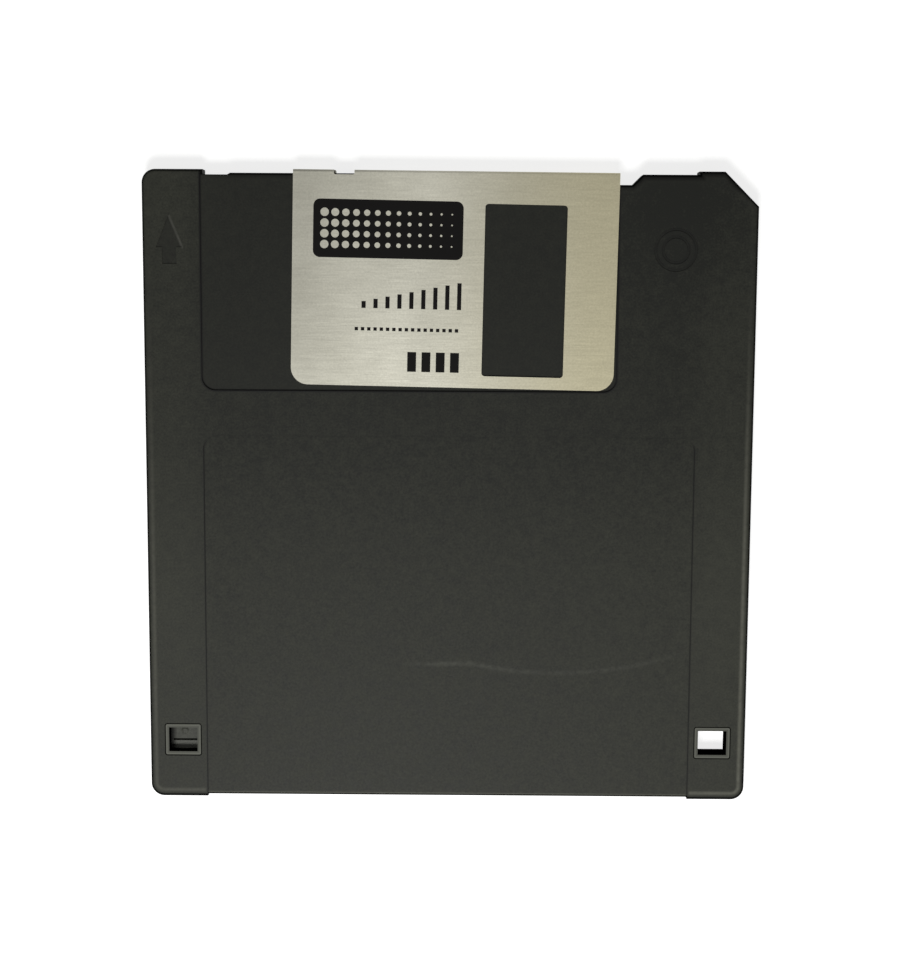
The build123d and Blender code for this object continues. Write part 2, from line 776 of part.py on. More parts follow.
# Lifter: a bent leaf under the rear liner
with BuildPart() as lifter:
    pocket_floor = floor_top - lifter_pocket_depth
    rise = lifter_pocket_depth - lifter_thickness
    with BuildSketch(Plane.XZ.offset(-lifter_y)):
        with BuildLine():
            Polyline(
                (lifter_x - lifter_length / 2, pocket_floor),
                (lifter_x, pocket_floor),
                (lifter_x + lifter_length / 2, pocket_floor + rise),
                (lifter_x + lifter_length / 2, pocket_floor + rise + lifter_thickness),
                (lifter_x, pocket_floor + lifter_thickness),
                (lifter_x - lifter_length / 2, pocket_floor + lifter_thickness),
                close=True,
            )
        make_face()
    extrude(amount=lifter_width / 2, both=True)
lifter.part.label = "lifter"

# Wear plate: a small disc on the front half, over the middle of the hub
with BuildPart() as wear_plate:
    with BuildSketch(hub_plane.offset(roof_bottom)):
        Circle(wear_plate_diameter / 2)
    extrude(amount=-wear_plate_thickness)
wear_plate.part.label = "wear_plate"

pieces = [
    front_shell.part,
    rear_shell.part,
    shutter.part,
    shutter_spring.part,
    write_protect_slider.part,
    magnetic_disk.part,
    hub_adhesive_ring.part,
    hub.part,
    front_liner.part,
    rear_liner.part,
    lifter.part,
    wear_plate.part,
]
for piece in pieces:
    export_step(piece, f"parts/{piece.label}.step")
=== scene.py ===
import bpy
import bmesh
import math
from mathutils import Euler, Matrix, Vector, noise


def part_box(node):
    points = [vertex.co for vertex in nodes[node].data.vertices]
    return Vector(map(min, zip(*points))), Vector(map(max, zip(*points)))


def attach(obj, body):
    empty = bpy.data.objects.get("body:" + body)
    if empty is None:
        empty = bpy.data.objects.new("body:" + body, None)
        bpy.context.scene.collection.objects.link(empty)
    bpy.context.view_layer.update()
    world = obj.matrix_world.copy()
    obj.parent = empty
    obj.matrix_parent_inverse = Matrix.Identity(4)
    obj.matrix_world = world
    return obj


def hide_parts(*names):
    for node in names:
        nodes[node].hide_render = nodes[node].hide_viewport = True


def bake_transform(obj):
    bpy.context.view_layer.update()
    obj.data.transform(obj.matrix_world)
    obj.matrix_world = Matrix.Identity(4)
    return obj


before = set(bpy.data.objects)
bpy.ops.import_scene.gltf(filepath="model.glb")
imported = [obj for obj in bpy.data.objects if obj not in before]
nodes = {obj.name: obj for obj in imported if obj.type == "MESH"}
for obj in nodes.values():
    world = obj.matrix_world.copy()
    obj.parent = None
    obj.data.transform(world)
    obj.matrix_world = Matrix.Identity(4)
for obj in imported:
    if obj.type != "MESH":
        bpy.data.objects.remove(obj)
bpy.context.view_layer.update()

mm = 0.001
print("frame loaded:", len(nodes), "nodes")


# helpers

def srgb(hexText):
    values = [int(hexText[i:i + 2], 16) / 255 for i in (1, 3, 5)]
    linear = [v / 12.92 if v <= 0.04045 else ((v + 0.055) / 1.055) ** 2.4 for v in values]
    return (*linear, 1.0)


def addNode(tree, kind, settings=None, inputs=None):
    # one node with its settings; an input is a number, a colour or another node's socket
    node = tree.nodes.new(kind)
    for name, value in (settings or {}).items():
        setattr(node, name, value)
    for name, value in (inputs or {}).items():
        socket = node.inputs[name]
        if isinstance(value, bpy.types.NodeSocket):
            tree.links.new(value, socket)
        else:
            socket.default_value = value
    return node


def combine(tree, operation, values):
    # joins several values, pair by pair, with one operation
    total = values[0]
    for value in values[1:]:
        total = addNode(tree, "ShaderNodeMath", {"operation": operation}, {
            0: total, 1: value}).outputs[0]
    return total


def newMaterial(name):
    material = bpy.data.materials.new(name)
    material.use_nodes = True
    material.node_tree.nodes.clear()
    return material, material.node_tree


def finishMaterial(material, look):
    # a principled shader with that look, joined to the material's output
    tree = material.node_tree
    shader = addNode(tree, "ShaderNodeBsdfPrincipled", None, look)
    addNode(tree, "ShaderNodeOutputMaterial", None, {"Surface": shader.outputs[0]})
    return material


def dress(piece, material):
    piece.data.materials.clear()
    piece.data.materials.append(material)


def newObject(name, data=None):
    # an object in the scene, with an empty mesh where it gets no data
    made = bpy.data.objects.new(name, data or bpy.data.meshes.new(name))
    bpy.context.scene.collection.objects.link(made)
    return made


# camera, fitted to the case's outline in the photograph

cameraFit = {
    "place": (2.279, 29.925, 240.04),  # mm
    "turn": (-6.674, 0.3646, 0.3122),  # degrees
    "lens": 60.678,  # mm
    "sensor": 36,  # mm, along the long side
    "sees": (0.01, 20),  # metres, nearest and farthest
}
camera = newObject("camera", bpy.data.cameras.new("camera"))
camera.location = Vector(cameraFit["place"]) * mm
camera.rotation_euler = Euler([math.radians(a) for a in cameraFit["turn"]])
camera.data.sensor_width = cameraFit["sensor"]
camera.data.lens = cameraFit["lens"]
camera.data.clip_start, camera.data.clip_end = cameraFit["sees"]
bpy.context.scene.camera = camera
print("camera placed")


# floor, world and lamps

light = {  # sizes and places in metres, power in watts
    "worldStrength": 0.16,
    "worldSeen": 0.7,  # a pale grey wall where the floor ends
    "keySize": 0.12,
    "keyPlace": (-0.03, -0.17, 0.26),
    "keyPower": 0.98,
    "underSize": 0.3,  # lights the underside, for views from below
    "underPlace": (0.2, -0.3, -0.26),
    "underPower": 1.9,
    "floorColour": "#b9b9b7",
    "floorLift": 0.78,  # what the floor adds for the eye, so that it reads as white
    "floorSize": 3.0,
    "floorDrop": 0.00002,  # keeps it clear of the case's rear face
}

world = bpy.data.worlds.new("studio")
bpy.context.scene.world = world
world.use_nodes = True
world.node_tree.nodes.clear()


def seenByEye(tree):
    # 1 for what the camera sees, straight or in metal and glass, and 0 for light on surfaces
    rays = addNode(tree, "ShaderNodeLightPath").outputs
    return combine(tree, "MAXIMUM", (
        rays["Is Camera Ray"], rays["Is Glossy Ray"], rays["Is Transmission Ray"]))


skyLevel = addNode(world.node_tree, "ShaderNodeMapRange", None, {
    "Value": seenByEye(world.node_tree), "To Min": light["worldStrength"],
    "To Max": light["worldSeen"]})
sky = addNode(world.node_tree, "ShaderNodeBackground", None, {
    "Color": srgb("#ffffff"), "Strength": skyLevel.outputs[0]})
addNode(world.node_tree, "ShaderNodeOutputWorld", None, {"Surface": sky.outputs[0]})


def addSoftbox(name, size, place, power):
    lamp = bpy.data.lights.new(name, "AREA")
    lamp.shape = "SQUARE"
    lamp.size = size
    lamp.energy = power
    stand = newObject(name, lamp)
    stand.location = place
    stand.rotation_euler = (-Vector(place)).to_track_quat("-Z", "Y").to_euler()


addSoftbox("key", light["keySize"], light["keyPlace"], light["keyPower"])
addSoftbox("under", light["underSize"], light["underPlace"], light["underPower"])

floorMaterial, tree = newMaterial("paper_floor")
paper = addNode(tree, "ShaderNodeBsdfPrincipled", None, {
    "Base Color": srgb(light["floorColour"]), "Roughness": 1.0, "Specular IOR Level": 0.0,
    "Emission Color": srgb("#ffffff"),
    "Emission Strength": combine(tree, "MULTIPLY", (seenByEye(tree), light["floorLift"]))})
clear = addNode(tree, "ShaderNodeBsdfTransparent")
side = addNode(tree, "ShaderNodeNewGeometry")
oneSided = addNode(tree, "ShaderNodeMixShader", None, {
    0: side.outputs["Backfacing"], 1: paper.outputs[0], 2: clear.outputs[0]})
addNode(tree, "ShaderNodeOutputMaterial", None, {"Surface": oneSided.outputs[0]})

floorMesh = bpy.data.meshes.new("floor")
half = light["floorSize"] / 2
floorMesh.from_pydata([(-half, -half, 0), (half, -half, 0), (half, half, 0), (-half, half, 0)],
                      [], [(0, 1, 2, 3)])
floor = newObject("floor", floorMesh)
floor.location.z = -light["floorDrop"]
floorMesh.materials.append(floorMaterial)
floor.visible_shadow = False  # lets the lower lamp through
bpy.context.scene.view_settings.view_transform = "Standard"
print("stage set")


# materials; a pair of places in a dictionary is where something begins and where it is full

def span(low, high):
    return {"From Min": low, "From Max": high}


noiseSpan = span(0.3, 0.7)  # nearly all values of a noise texture


def ramp(tree, value, fromMin, fromMax, toMin=0.0, toMax=1.0):
    # goes from one level to the other between two places in mm, eased at both
    return addNode(tree, "ShaderNodeMapRange", {"interpolation_type": "SMOOTHSTEP"}, {
        **span(fromMin * mm, fromMax * mm), "Value": value,
        "To Min": toMin, "To Max": toMax}).outputs[0]


def flatLength(tree, vector):
    # a vector's length, seen from above
    flat = addNode(tree, "ShaderNodeVectorMath", {"operation": "MULTIPLY"}, {
        0: vector, 1: (1, 1, 0)})
    return addNode(tree, "ShaderNodeVectorMath", {"operation": "LENGTH"}, {
        0: flat.outputs[0]}).outputs["Value"]


def flatDistance(tree, place, shape):
    # how far a point lies outside a rounded rectangle, seen from above; negative inside
    middle = Vector((*shape["centre"], 0)) * mm
    reach = (Vector((*shape["half"], 0)) - Vector((shape["corner"], shape["corner"], 0))) * mm
    away = addNode(tree, "ShaderNodeVectorMath", {"operation": "SUBTRACT"}, {
        0: place, 1: middle})
    folded = addNode(tree, "ShaderNodeVectorMath", {"operation": "ABSOLUTE"}, {
        0: away.outputs[0]})
    past = addNode(tree, "ShaderNodeVectorMath", {"operation": "SUBTRACT"}, {
        0: folded.outputs[0], 1: reach})
    outer = addNode(tree, "ShaderNodeVectorMath", {"operation": "MAXIMUM"}, {
        0: past.outputs[0], 1: (0, 0, 0)})
    parts = addNode(tree, "ShaderNodeSeparateXYZ", None, {0: past.outputs[0]}).outputs
    inner = combine(tree, "MINIMUM", (
        combine(tree, "MAXIMUM", (parts["X"], parts["Y"])), 0.0))
    both = combine(tree, "ADD", (flatLength(tree, outer.outputs[0]), inner))
    return combine(tree, "SUBTRACT", (both, shape["corner"] * mm))


def spotDistance(tree, place, centre):
    # how far a point lies from one spot, seen from above
    return flatDistance(tree, place, {"centre": centre, "half": (0.0, 0.0), "corner": 0.0})


def segmentDistance(tree, place, start, end):
    # how far a point lies from the straight line between two spots, seen from above
    first, last = Vector((*start, 0)) * mm, Vector((*end, 0)) * mm
    along, length = (last - first).normalized(), (last - first).length
    away = addNode(tree, "ShaderNodeVectorMath", {"operation": "SUBTRACT"}, {
        0: place, 1: first})
    reached = addNode(tree, "ShaderNodeVectorMath", {"operation": "DOT_PRODUCT"}, {
        0: away.outputs[0], 1: along})
    kept = addNode(tree, "ShaderNodeMapRange", None, {
        "Value": reached.outputs["Value"], "From Max": length, "To Max": length})
    foot = addNode(tree, "ShaderNodeVectorMath", {"operation": "SCALE"}, {
        0: along, "Scale": kept.outputs[0]})
    off = addNode(tree, "ShaderNodeVectorMath", {"operation": "SUBTRACT"}, {
        0: away.outputs[0], 1: foot.outputs[0]})
    return flatLength(tree, off.outputs[0])


def gapTo(tree, value, middle):
    # how far a value lies from a place in mm, to either side
    return addNode(tree, "ShaderNodeMath", {"operation": "ABSOLUTE"}, {
        0: combine(tree, "SUBTRACT", (value, middle * mm))}).outputs[0]


def bandAt(tree, distance, middle, halfWidth):
    # 1 on the line at that distance, falling to 0 at half the width to either side
    return ramp(tree, gapTo(tree, distance, middle), 0.0, halfWidth, 1.0, 0.0)


def tinted(tree, mask, colour, hexText):
    return addNode(tree, "ShaderNodeMix", {"data_type": "RGBA"}, {
        "Factor": mask, 6: colour, 7: srgb(hexText)}).outputs[2]


def toned(tree, hexText, pattern, tones, within=noiseSpan):
    # a colour that a pattern darkens and brightens
    tone = addNode(tree, "ShaderNodeMapRange", None, {
        **within, "Value": pattern, "To Min": tones[0], "To Max": tones[1]})
    return addNode(tree, "ShaderNodeVectorMath", {"operation": "SCALE"}, {
        0: srgb(hexText)[:3], "Scale": tone.outputs[0]}).outputs[0]


def paint(tree, look, hexText, masks, gloss=1.0):
    # tints the look's colour where every mask is 1 and scales its gloss there
    mask = combine(tree, "MULTIPLY", masks)
    look["Base Color"] = tinted(tree, mask, look["Base Color"], hexText)
    left = addNode(tree, "ShaderNodeMapRange", None, {
        "Value": mask, "To Min": 1.0, "To Max": gloss})
    look["Specular IOR Level"] = combine(tree, "MULTIPLY", (
        look["Specular IOR Level"], left.outputs[0]))


caseAbs = {
    "colour": "#141511",
    "colourMottleAndPaintedLight": "#35362e",
    "paintedLightUp": (14.0, -16.0),  # mm up the case: painted light and shade, darker towards the shutter end
    "paintedLightUpShares": (-0.245, -0.065),
    "paintedLightSides": (33.0, 41.0),  # mm from the middle: painted light, paler towards both sides
    "paintedLightSidesShare": 0.2,
    "paintedLightSidesFade": (-18.0, -38.0),  # mm up the case, where that share falls off
    "paintedLightSidesLeft": 0.3,  # what is left of it there
    "right": (0.0, 40.0),  # mm, painted light, the right half a little paler
    "paintedLightRightShare": 0.09,
    "paintedLightRightFade": (10.0, -10.0),  # mm up the case
    "paintedLightAndShadePatches": (  # place, radius in mm and share of painted light (negative for painted shade)
        ((-41.0, 44.0), 16.0, 0.13),
        ((38.0, 45.0), 23.0, -0.3),
    ),
    "cloud": 0.34,
    "speckle": 0.49,
    "speckleSpan": (0.25, 0.75),
    "roughness": 0.6,
    "uneven": 0.03,  # how far the mottle changes the roughness
    "ior": 1.54,
    "specular": 0.14,  # the grain traps part of the gloss
    "grain": 0.3,  # mm, spark grain; the real one is near 0.1 and wouldn't show
    "grainHeight": 0.010,  # mm
    "mottle": 1.3,  # mm
}


def mouldedAbs(name, settings, marks):
    # black ABS moulded against a spark-eroded tool: matt, with a fine even grain that
    # breaks the highlight up, and painted light and shade that make it paler towards the label
    # end and the sides
    material, tree = newMaterial(name)
    place = addNode(tree, "ShaderNodeTexCoord").outputs["Object"]
    parts = addNode(tree, "ShaderNodeSeparateXYZ", None, {0: place}).outputs
    x, y = parts["X"], parts["Y"]
    grain = addNode(tree, "ShaderNodeTexNoise", None, {
        "Vector": place, "Scale": 1 / (settings["grain"] * mm), "Detail": 2.0,
        "Roughness": 0.6}).outputs[0]
    mottle = addNode(tree, "ShaderNodeTexNoise", None, {
        "Vector": place, "Scale": 1 / (settings["mottle"] * mm), "Detail": 4.0,
        "Roughness": 0.62}).outputs[0]
    cloud = addNode(tree, "ShaderNodeMapRange", None, {
        **noiseSpan, "Value": mottle, "To Max": settings["cloud"]})
    speckle = addNode(tree, "ShaderNodeMapRange", None, {
        **span(*settings["speckleSpan"]), "Value": grain, "To Max": settings["speckle"]})
    # random mottle and speckle, then painted light and shade: gradients up and across the case,
    # and patches
    shares = [
        cloud.outputs[0], speckle.outputs[0],
        ramp(tree, y, *settings["paintedLightUp"], *settings["paintedLightUpShares"]),
        combine(tree, "MULTIPLY", (
            ramp(tree, gapTo(tree, x, 0.0), *settings["paintedLightSides"], 0.0,
                 settings["paintedLightSidesShare"]),
            ramp(tree, y, *settings["paintedLightSidesFade"], 1.0, settings["paintedLightSidesLeft"]))),
        combine(tree, "MULTIPLY", (
            ramp(tree, x, *settings["right"], 0.0, settings["paintedLightRightShare"]),
            ramp(tree, y, *settings["paintedLightRightFade"]))),
    ]
    for centre, radius, amount in settings["paintedLightAndShadePatches"]:
        shares.append(ramp(tree, spotDistance(tree, place, centre), radius, 0.0, 0.0, amount))
    polish = addNode(tree, "ShaderNodeMapRange", None, {
        **noiseSpan, "Value": mottle, "To Min": settings["roughness"] - settings["uneven"],
        "To Max": settings["roughness"] + settings["uneven"]})
    bump = addNode(tree, "ShaderNodeBump", None, {
        "Height": grain, "Strength": 1.0, "Distance": settings["grainHeight"] * mm})
    look = {
        "Base Color": tinted(tree, combine(tree, "ADD", shares), srgb(settings["colour"]),
                             settings["colourMottleAndPaintedLight"]),
        "Roughness": polish.outputs[0], "IOR": settings["ior"],
        "Specular IOR Level": settings["specular"], "Normal": bump.outputs[0]}
    marks(tree, place, look)
    return finishMaterial(material, look)


outline = {
    "centre": (0.0, 0.07), "half": (45.0, 46.93), "corner": 2.0,
    "keyCorner": 5.0,
    "shutterEdge": 46.48,  # mm up the case, between the two corners
    "edgeFrom": -36.1,
    "edgeTo": 36.25,
    "notchFloor": 44.98,
    "notchFrom": 20.0,  # under the shutter
    "notchEnd": 28.0,  # where the lever notch's slope meets the shutter edge
    "labelEdge": -46.72,  # mm, the label recess's own end, a little short of the case's
    "labelHalf": 36.38,
    "labelSteep": 8.0,  # keeps the painted edge highlight off the short steps beside it
}


def caseEdge(tree, place):
    # how far a point lies outside the case's outline, with its cut corner, its set-back
    # shutter edge, its lever notch and its set-back label end; negative inside
    def minus(first, second):
        return combine(tree, "SUBTRACT", (first, second))

    parts = addNode(tree, "ShaderNodeSeparateXYZ", None, {0: place}).outputs
    x, y = parts["X"], parts["Y"]
    diagonal = math.sqrt(0.5)
    alongKey = combine(tree, "MULTIPLY", (combine(tree, "ADD", (x, y)), diagonal))
    keyReach = sum(outline["half"]) + sum(outline["centre"]) - outline["keyCorner"]
    alongSlope = combine(tree, "MULTIPLY", (minus(y, x), diagonal))
    slopeReach = outline["shutterEdge"] - outline["notchEnd"]
    setBack = combine(tree, "MINIMUM", (
        minus(y, outline["shutterEdge"] * mm), minus(x, outline["edgeFrom"] * mm),
        minus(outline["edgeTo"] * mm, x)))
    notch = combine(tree, "MINIMUM", (
        minus(y, outline["notchFloor"] * mm), minus(x, outline["notchFrom"] * mm),
        minus(alongSlope, slopeReach * mm * diagonal)))
    labelEnd = combine(tree, "MINIMUM", (
        minus(outline["labelEdge"] * mm, y),
        combine(tree, "MULTIPLY", (
            minus(outline["labelHalf"] * mm, gapTo(tree, x, 0.0)), outline["labelSteep"]))))
    return combine(tree, "MAXIMUM", (
        flatDistance(tree, place, outline), minus(alongKey, keyReach * mm * diagonal),
        setBack, notch, labelEnd))


# a painted highlight where the rounded edge catches the light
paintedEdgeHighlight = {
    "inset": -0.92,  # mm, past the line where the rounded edge meets the face
    "halfWidth": 0.46,
    "colour": "#53534a",
    "across": (-40.0, 40.0),  # mm, from the left to the right rail
    "sides": (0.45, 1.0),  # strength on them
    "along": (33.0, -22.0),  # mm up the case
    "least": 0.06,
    "unbroken": 0.6,  # strength left where the painted highlight is thin
    "beside": (0.1, 0.5),  # mm outside the label recess
    "labelInset": -0.36,
    "labelHalfWidth": 0.28,
    "labelStrength": 0.62,
    "within": (0.1, -0.1),  # mm, inside the label recess
}
# painted shade where the rounded edge turns away from the light
paintedEdgeShade = {
    "inset": -0.15,  # mm
    "halfWidth": 0.3,
    "colour": "#020202",
    "gloss": 0.1,
    "bottom": (-45.0, -46.0),  # mm, the label end's edge, which faces down
    "bottomHalfWidth": 0.58,
    "bottomStrength": 0.62,
    "top": (43.0, 45.0),  # mm, near the shutter edge
    "topReach": (-1.35, -0.1),  # mm from that edge that take the painted shade
    "topTrack": (-37.0, -33.0),  # mm, beside the shutter
    "topTrackStrength": 0.35,
    "topRight": (22.0, 30.0),  # mm, right of it
    "topRightStrength": 0.4,
    "topGloss": 0.4,
}
labelRecess = {"centre": (0.0, -31.87), "half": (36.38, 40.0), "corner": 2.0}
trackRecess = {"centre": (-5.91, 44.79), "half": (30.59, 30.0), "corner": 2.0}
# painted shade in the corners of both recesses and on the track's floor
paintedRecessShade = {
    "face": (2.9, 3.0),  # mm, heights past which marks lie on the front
    "labelHalfWidth": 0.2,
    "labelStrength": 0.75,
    "labelTop": (6.5, 7.6),  # mm up the case, the label's top edge
    "labelTopShare": 0.2,
    "trackHalfWidth": 0.32,
    "trackStrength": 0.95,
    "colour": "#040404",
    "trackInside": (0.02, -0.02),
    "floorColour": "#151612",  # the track's floor, darker with painted shade under the shutter
    "floorStrength": 0.5,
    "floorLevel": (3.06, 3.05),  # mm, from the case's face down to the track's floor
}
# painted shade on the floors of the sunk arrow and ring, and a painted highlight on the arrow's
# right side
sunkMarkShadeAndHighlight = {
    "high": (3.25, 3.22),  # mm, levels between which only the arrow's and ring's floors lie
    "low": (3.13, 3.16),
    "colour": "#0b0b09",
    "strength": 0.42,
    "side": ((-41.0, 40.2), (-39.15, 35.7)),  # mm, right side of the arrow's head, where a highlight is painted
    "highlightHalfWidth": 0.3,
    "highlightColour": "#4a4a44",
    "highlightStrength": 0.7,
}
scuff = {
    "centre": (16.1, 32.6),  # mm, an arc that runs out level to the left
    "radius": 60.1,
    "arcFrom": (3.0, 2.0),  # mm, where the arc stops
    "arcAway": 5.0,  # mm, how far it is moved off past that
    "level": ((-10.0, -26.35), (2.8, -26.15)),
    "halfWidth": 0.6,
    "onLabel": (0.1, -0.1),  # mm up the case
    "fadeIn": (-9.0, 0.0),
    "fainter": (8.0, 14.0),
    "faint": 0.55,
    "fadeOut": (27.0, 38.0),
    "strength": 0.33,
    "break": 1.1,  # mm
    "breakSpan": (0.3, 0.6),
    "colour": "#53544c",
}


def frontMarks(tree, place, look):
    # painted shade in the corners of both recesses, on the floor under the shutter, along the
    # outline and in the sunk marks; painted highlights on the edges; a pale arc scuffed across
    # the label recess
    parts = addNode(tree, "ShaderNodeSeparateXYZ", None, {0: place}).outputs
    x, y, z = parts["X"], parts["Y"], parts["Z"]
    broken = addNode(tree, "ShaderNodeTexNoise", None, {
        "Vector": place, "Scale": 1 / (scuff["break"] * mm), "Detail": 3.0,
        "Roughness": 0.7}).outputs[0]
    uneven, gaps = (addNode(tree, "ShaderNodeMapRange", None, {
        **span(*scuff["breakSpan"]), "Value": broken, "To Min": least}).outputs[0]
        for least in (paintedEdgeHighlight["unbroken"], 0.0))
    onFace = ramp(tree, z, *paintedRecessShade["face"])
    outer = caseEdge(tree, place)
    label = flatDistance(tree, place, labelRecess)
    track = flatDistance(tree, place, trackRecess)

    # painted shade on the track's floor under the shutter
    paint(tree, look, paintedRecessShade["floorColour"], (
        ramp(tree, track, *paintedRecessShade["trackInside"]),
        ramp(tree, z, *paintedRecessShade["floorLevel"]), paintedRecessShade["floorStrength"]))
    # painted highlight along the rounded edges, and along the label end's edge
    paint(tree, look, paintedEdgeHighlight["colour"], (
        bandAt(tree, outer, paintedEdgeHighlight["inset"], paintedEdgeHighlight["halfWidth"]), onFace, uneven,
        ramp(tree, y, *paintedEdgeHighlight["along"], paintedEdgeHighlight["least"]),
        ramp(tree, x, *paintedEdgeHighlight["across"], *paintedEdgeHighlight["sides"]),
        ramp(tree, label, *paintedEdgeHighlight["beside"])))
    paint(tree, look, paintedEdgeHighlight["colour"], (
        bandAt(tree, outer, paintedEdgeHighlight["labelInset"], paintedEdgeHighlight["labelHalfWidth"]), onFace,
        ramp(tree, label, *paintedEdgeHighlight["within"]), paintedEdgeHighlight["labelStrength"]))

    # painted shade along the outline, wider at the label end and near the shutter edge
    paint(tree, look, paintedEdgeShade["colour"], (
        bandAt(tree, outer, paintedEdgeShade["inset"], paintedEdgeShade["halfWidth"]),), paintedEdgeShade["gloss"])
    paint(tree, look, paintedEdgeShade["colour"], (
        bandAt(tree, outer, 0.0, paintedEdgeShade["bottomHalfWidth"]),
        ramp(tree, y, *paintedEdgeShade["bottom"]), paintedEdgeShade["bottomStrength"]), paintedEdgeShade["gloss"])
    along = combine(tree, "ADD", (
        ramp(tree, x, *paintedEdgeShade["topTrack"], 0.0, paintedEdgeShade["topTrackStrength"]),
        ramp(tree, x, *paintedEdgeShade["topRight"], 0.0, paintedEdgeShade["topRightStrength"])))
    paint(tree, look, paintedEdgeShade["colour"], (
        ramp(tree, y, *paintedEdgeShade["top"]), ramp(tree, outer, *paintedEdgeShade["topReach"]), along),
        paintedEdgeShade["topGloss"])

    # painted shade in the corners of both recesses
    paint(tree, look, paintedRecessShade["colour"], (
        bandAt(tree, label, 0.0, paintedRecessShade["labelHalfWidth"]), onFace,
        ramp(tree, y, *paintedRecessShade["labelTop"], 1.0, paintedRecessShade["labelTopShare"]),
        paintedRecessShade["labelStrength"]))
    paint(tree, look, paintedRecessShade["colour"], (
        bandAt(tree, track, 0.0, paintedRecessShade["trackHalfWidth"]), onFace,
        paintedRecessShade["trackStrength"]))

    # painted shade in the sunk marks, then the painted highlight
    paint(tree, look, sunkMarkShadeAndHighlight["colour"], (
        ramp(tree, z, *sunkMarkShadeAndHighlight["high"]), ramp(tree, z, *sunkMarkShadeAndHighlight["low"]),
        sunkMarkShadeAndHighlight["strength"]))
    paint(tree, look, sunkMarkShadeAndHighlight["highlightColour"], (
        bandAt(tree, segmentDistance(tree, place, *sunkMarkShadeAndHighlight["side"]), 0.0,
               sunkMarkShadeAndHighlight["highlightHalfWidth"]), uneven, sunkMarkShadeAndHighlight["highlightStrength"]))

    toArc = gapTo(tree, spotDistance(tree, place, scuff["centre"]), scuff["radius"])
    off = combine(tree, "MINIMUM", (
        combine(tree, "ADD", (
            toArc, ramp(tree, x, *scuff["arcFrom"], 0.0, scuff["arcAway"] * mm))),
        segmentDistance(tree, place, *scuff["level"])))
    paint(tree, look, scuff["colour"], (
        bandAt(tree, off, 0.0, scuff["halfWidth"]), gaps, ramp(tree, y, *scuff["onLabel"]),
        ramp(tree, x, *scuff["fadeIn"]),
        ramp(tree, x, *scuff["fainter"], 1.0, scuff["faint"]),
        ramp(tree, x, *scuff["fadeOut"], 1.0, 0.0), scuff["strength"]))


collar = {
    "above": (3.2, 3.22),  # mm, height over which only the collars' top faces lie
    "colour": "#45463f",
    "outer": {"half": (2.65, 2.35), "corner": 0.2},
    # painted highlight along the collars' outer edges
    "rimHighlightColour": "#56574f",
    "rimInset": -0.14,  # mm inside the collar's outer edge
    "rimHalfWidth": 0.2,
    "hole": {"half": (2.2, 1.9), "corner": 0.1},
    # painted shade on the walls of the square holes
    "wallShadeColour": "#020202",
    "wallBelow": (3.27, 3.25),
    "wallWithin": (0.02, 0.0),
    "places": ((-40.0, -38.13), (40.0, -38.13)),
}


def collarMarks(tree, place, look):
    # the collars' top faces are paler than the grained faces round them, with a painted
    # highlight at their outer edges, and painted shade darkens the walls of the square holes
    height = addNode(tree, "ShaderNodeSeparateXYZ", None, {0: place}).outputs["Z"]
    top = ramp(tree, height, *collar["above"])
    under = ramp(tree, height, *collar["wallBelow"])
    paint(tree, look, collar["colour"], (top,))
    for centre in collar["places"]:
        edge = flatDistance(tree, place, {"centre": centre, **collar["outer"]})
        paint(tree, look, collar["rimHighlightColour"], (
            top, bandAt(tree, edge, collar["rimInset"], collar["rimHalfWidth"])))
        wall = flatDistance(tree, place, {"centre": centre, **collar["hole"]})
        paint(tree, look, collar["wallShadeColour"], (
            ramp(tree, wall, *collar["wallWithin"]), under), 0.0)


sliderAbs = {
    **caseAbs, "colour": "#2c2d28", "colourMottleAndPaintedLight": "#4e4f48",
    "litBar": (-38.5, -39.3),  # mm, under the groove, paler with painted light
    "litBarColour": "#767770",
    "end": (-41.1, -42.0),  # mm, the slider's left end, in painted shade
    "endShadeStrength": 0.85,
    "endShadeColour": "#040404",
    "endShadeGloss": 0.3,
}


def sliderMarks(tree, place, look):
    # painted light on the bar under the groove, and painted shade on the left end
    parts = addNode(tree, "ShaderNodeSeparateXYZ", None, {0: place}).outputs
    paint(tree, look, sliderAbs["litBarColour"], (ramp(tree, parts["Y"], *sliderAbs["litBar"]),))
    paint(tree, look, sliderAbs["endShadeColour"], (
        ramp(tree, parts["X"], *sliderAbs["end"], 0.0, sliderAbs["endShadeStrength"]),),
        sliderAbs["endShadeGloss"])


frontShellAbs = mouldedAbs("moulded_black_abs_front", caseAbs, frontMarks)
rearShellAbs = mouldedAbs("moulded_black_abs_rear", caseAbs, collarMarks)
sliderBodyAbs = mouldedAbs("moulded_black_abs_slider", sliderAbs, sliderMarks)

steel = {
    "colour": "#aaa89b",
    "colourPale": "#b4b2a5",
    "blotch": 9.0,  # mm
    "blotchSpan": (0.35, 0.65),
    "colourWarm": "#aca68c",
    "warm": (-6.0, 24.0),  # mm, yellower towards the right
    "roughness": 0.385,
    "uneven": 0.042,  # how far the lines change the roughness
    "line": 0.16,  # mm between brushed lines; the real ones are near 0.05
    "lineLength": 3.6,  # mm
    "lineDepth": 0.0022,  # mm
    "streak": 0.036,  # how far the lines darken and brighten the colour
    "grit": 0.3,  # mm, the fine speckle of the strip itself
    "speckle": 0.095,  # how far it darkens and brightens the colour
    "sheenMiddle": -4.0,  # mm, an upright band of painted reflection
    "sheenReach": (16.0, 3.0),
    "sheen": 0.12,
    "left": (-16.0, -22.0),  # mm, painted reflection darker towards the left end
    "leftSheen": -0.1,
    "spot": (-6.8, 44.0),  # mm, a painted highlight spot
    "spotReach": 9.0,
    "spotSheen": 0.11,
    "edge": 0.14,  # mm, painted highlight on the cut edges
    "edgeSpan": (1.0, 0.8),  # how well the rounded and the true normal agree
    "edgeSheen": 0.13,
    "fold": (46.6, 46.95),  # mm up the case, painted shade on the bend
    "foldShare": 0.62,
}


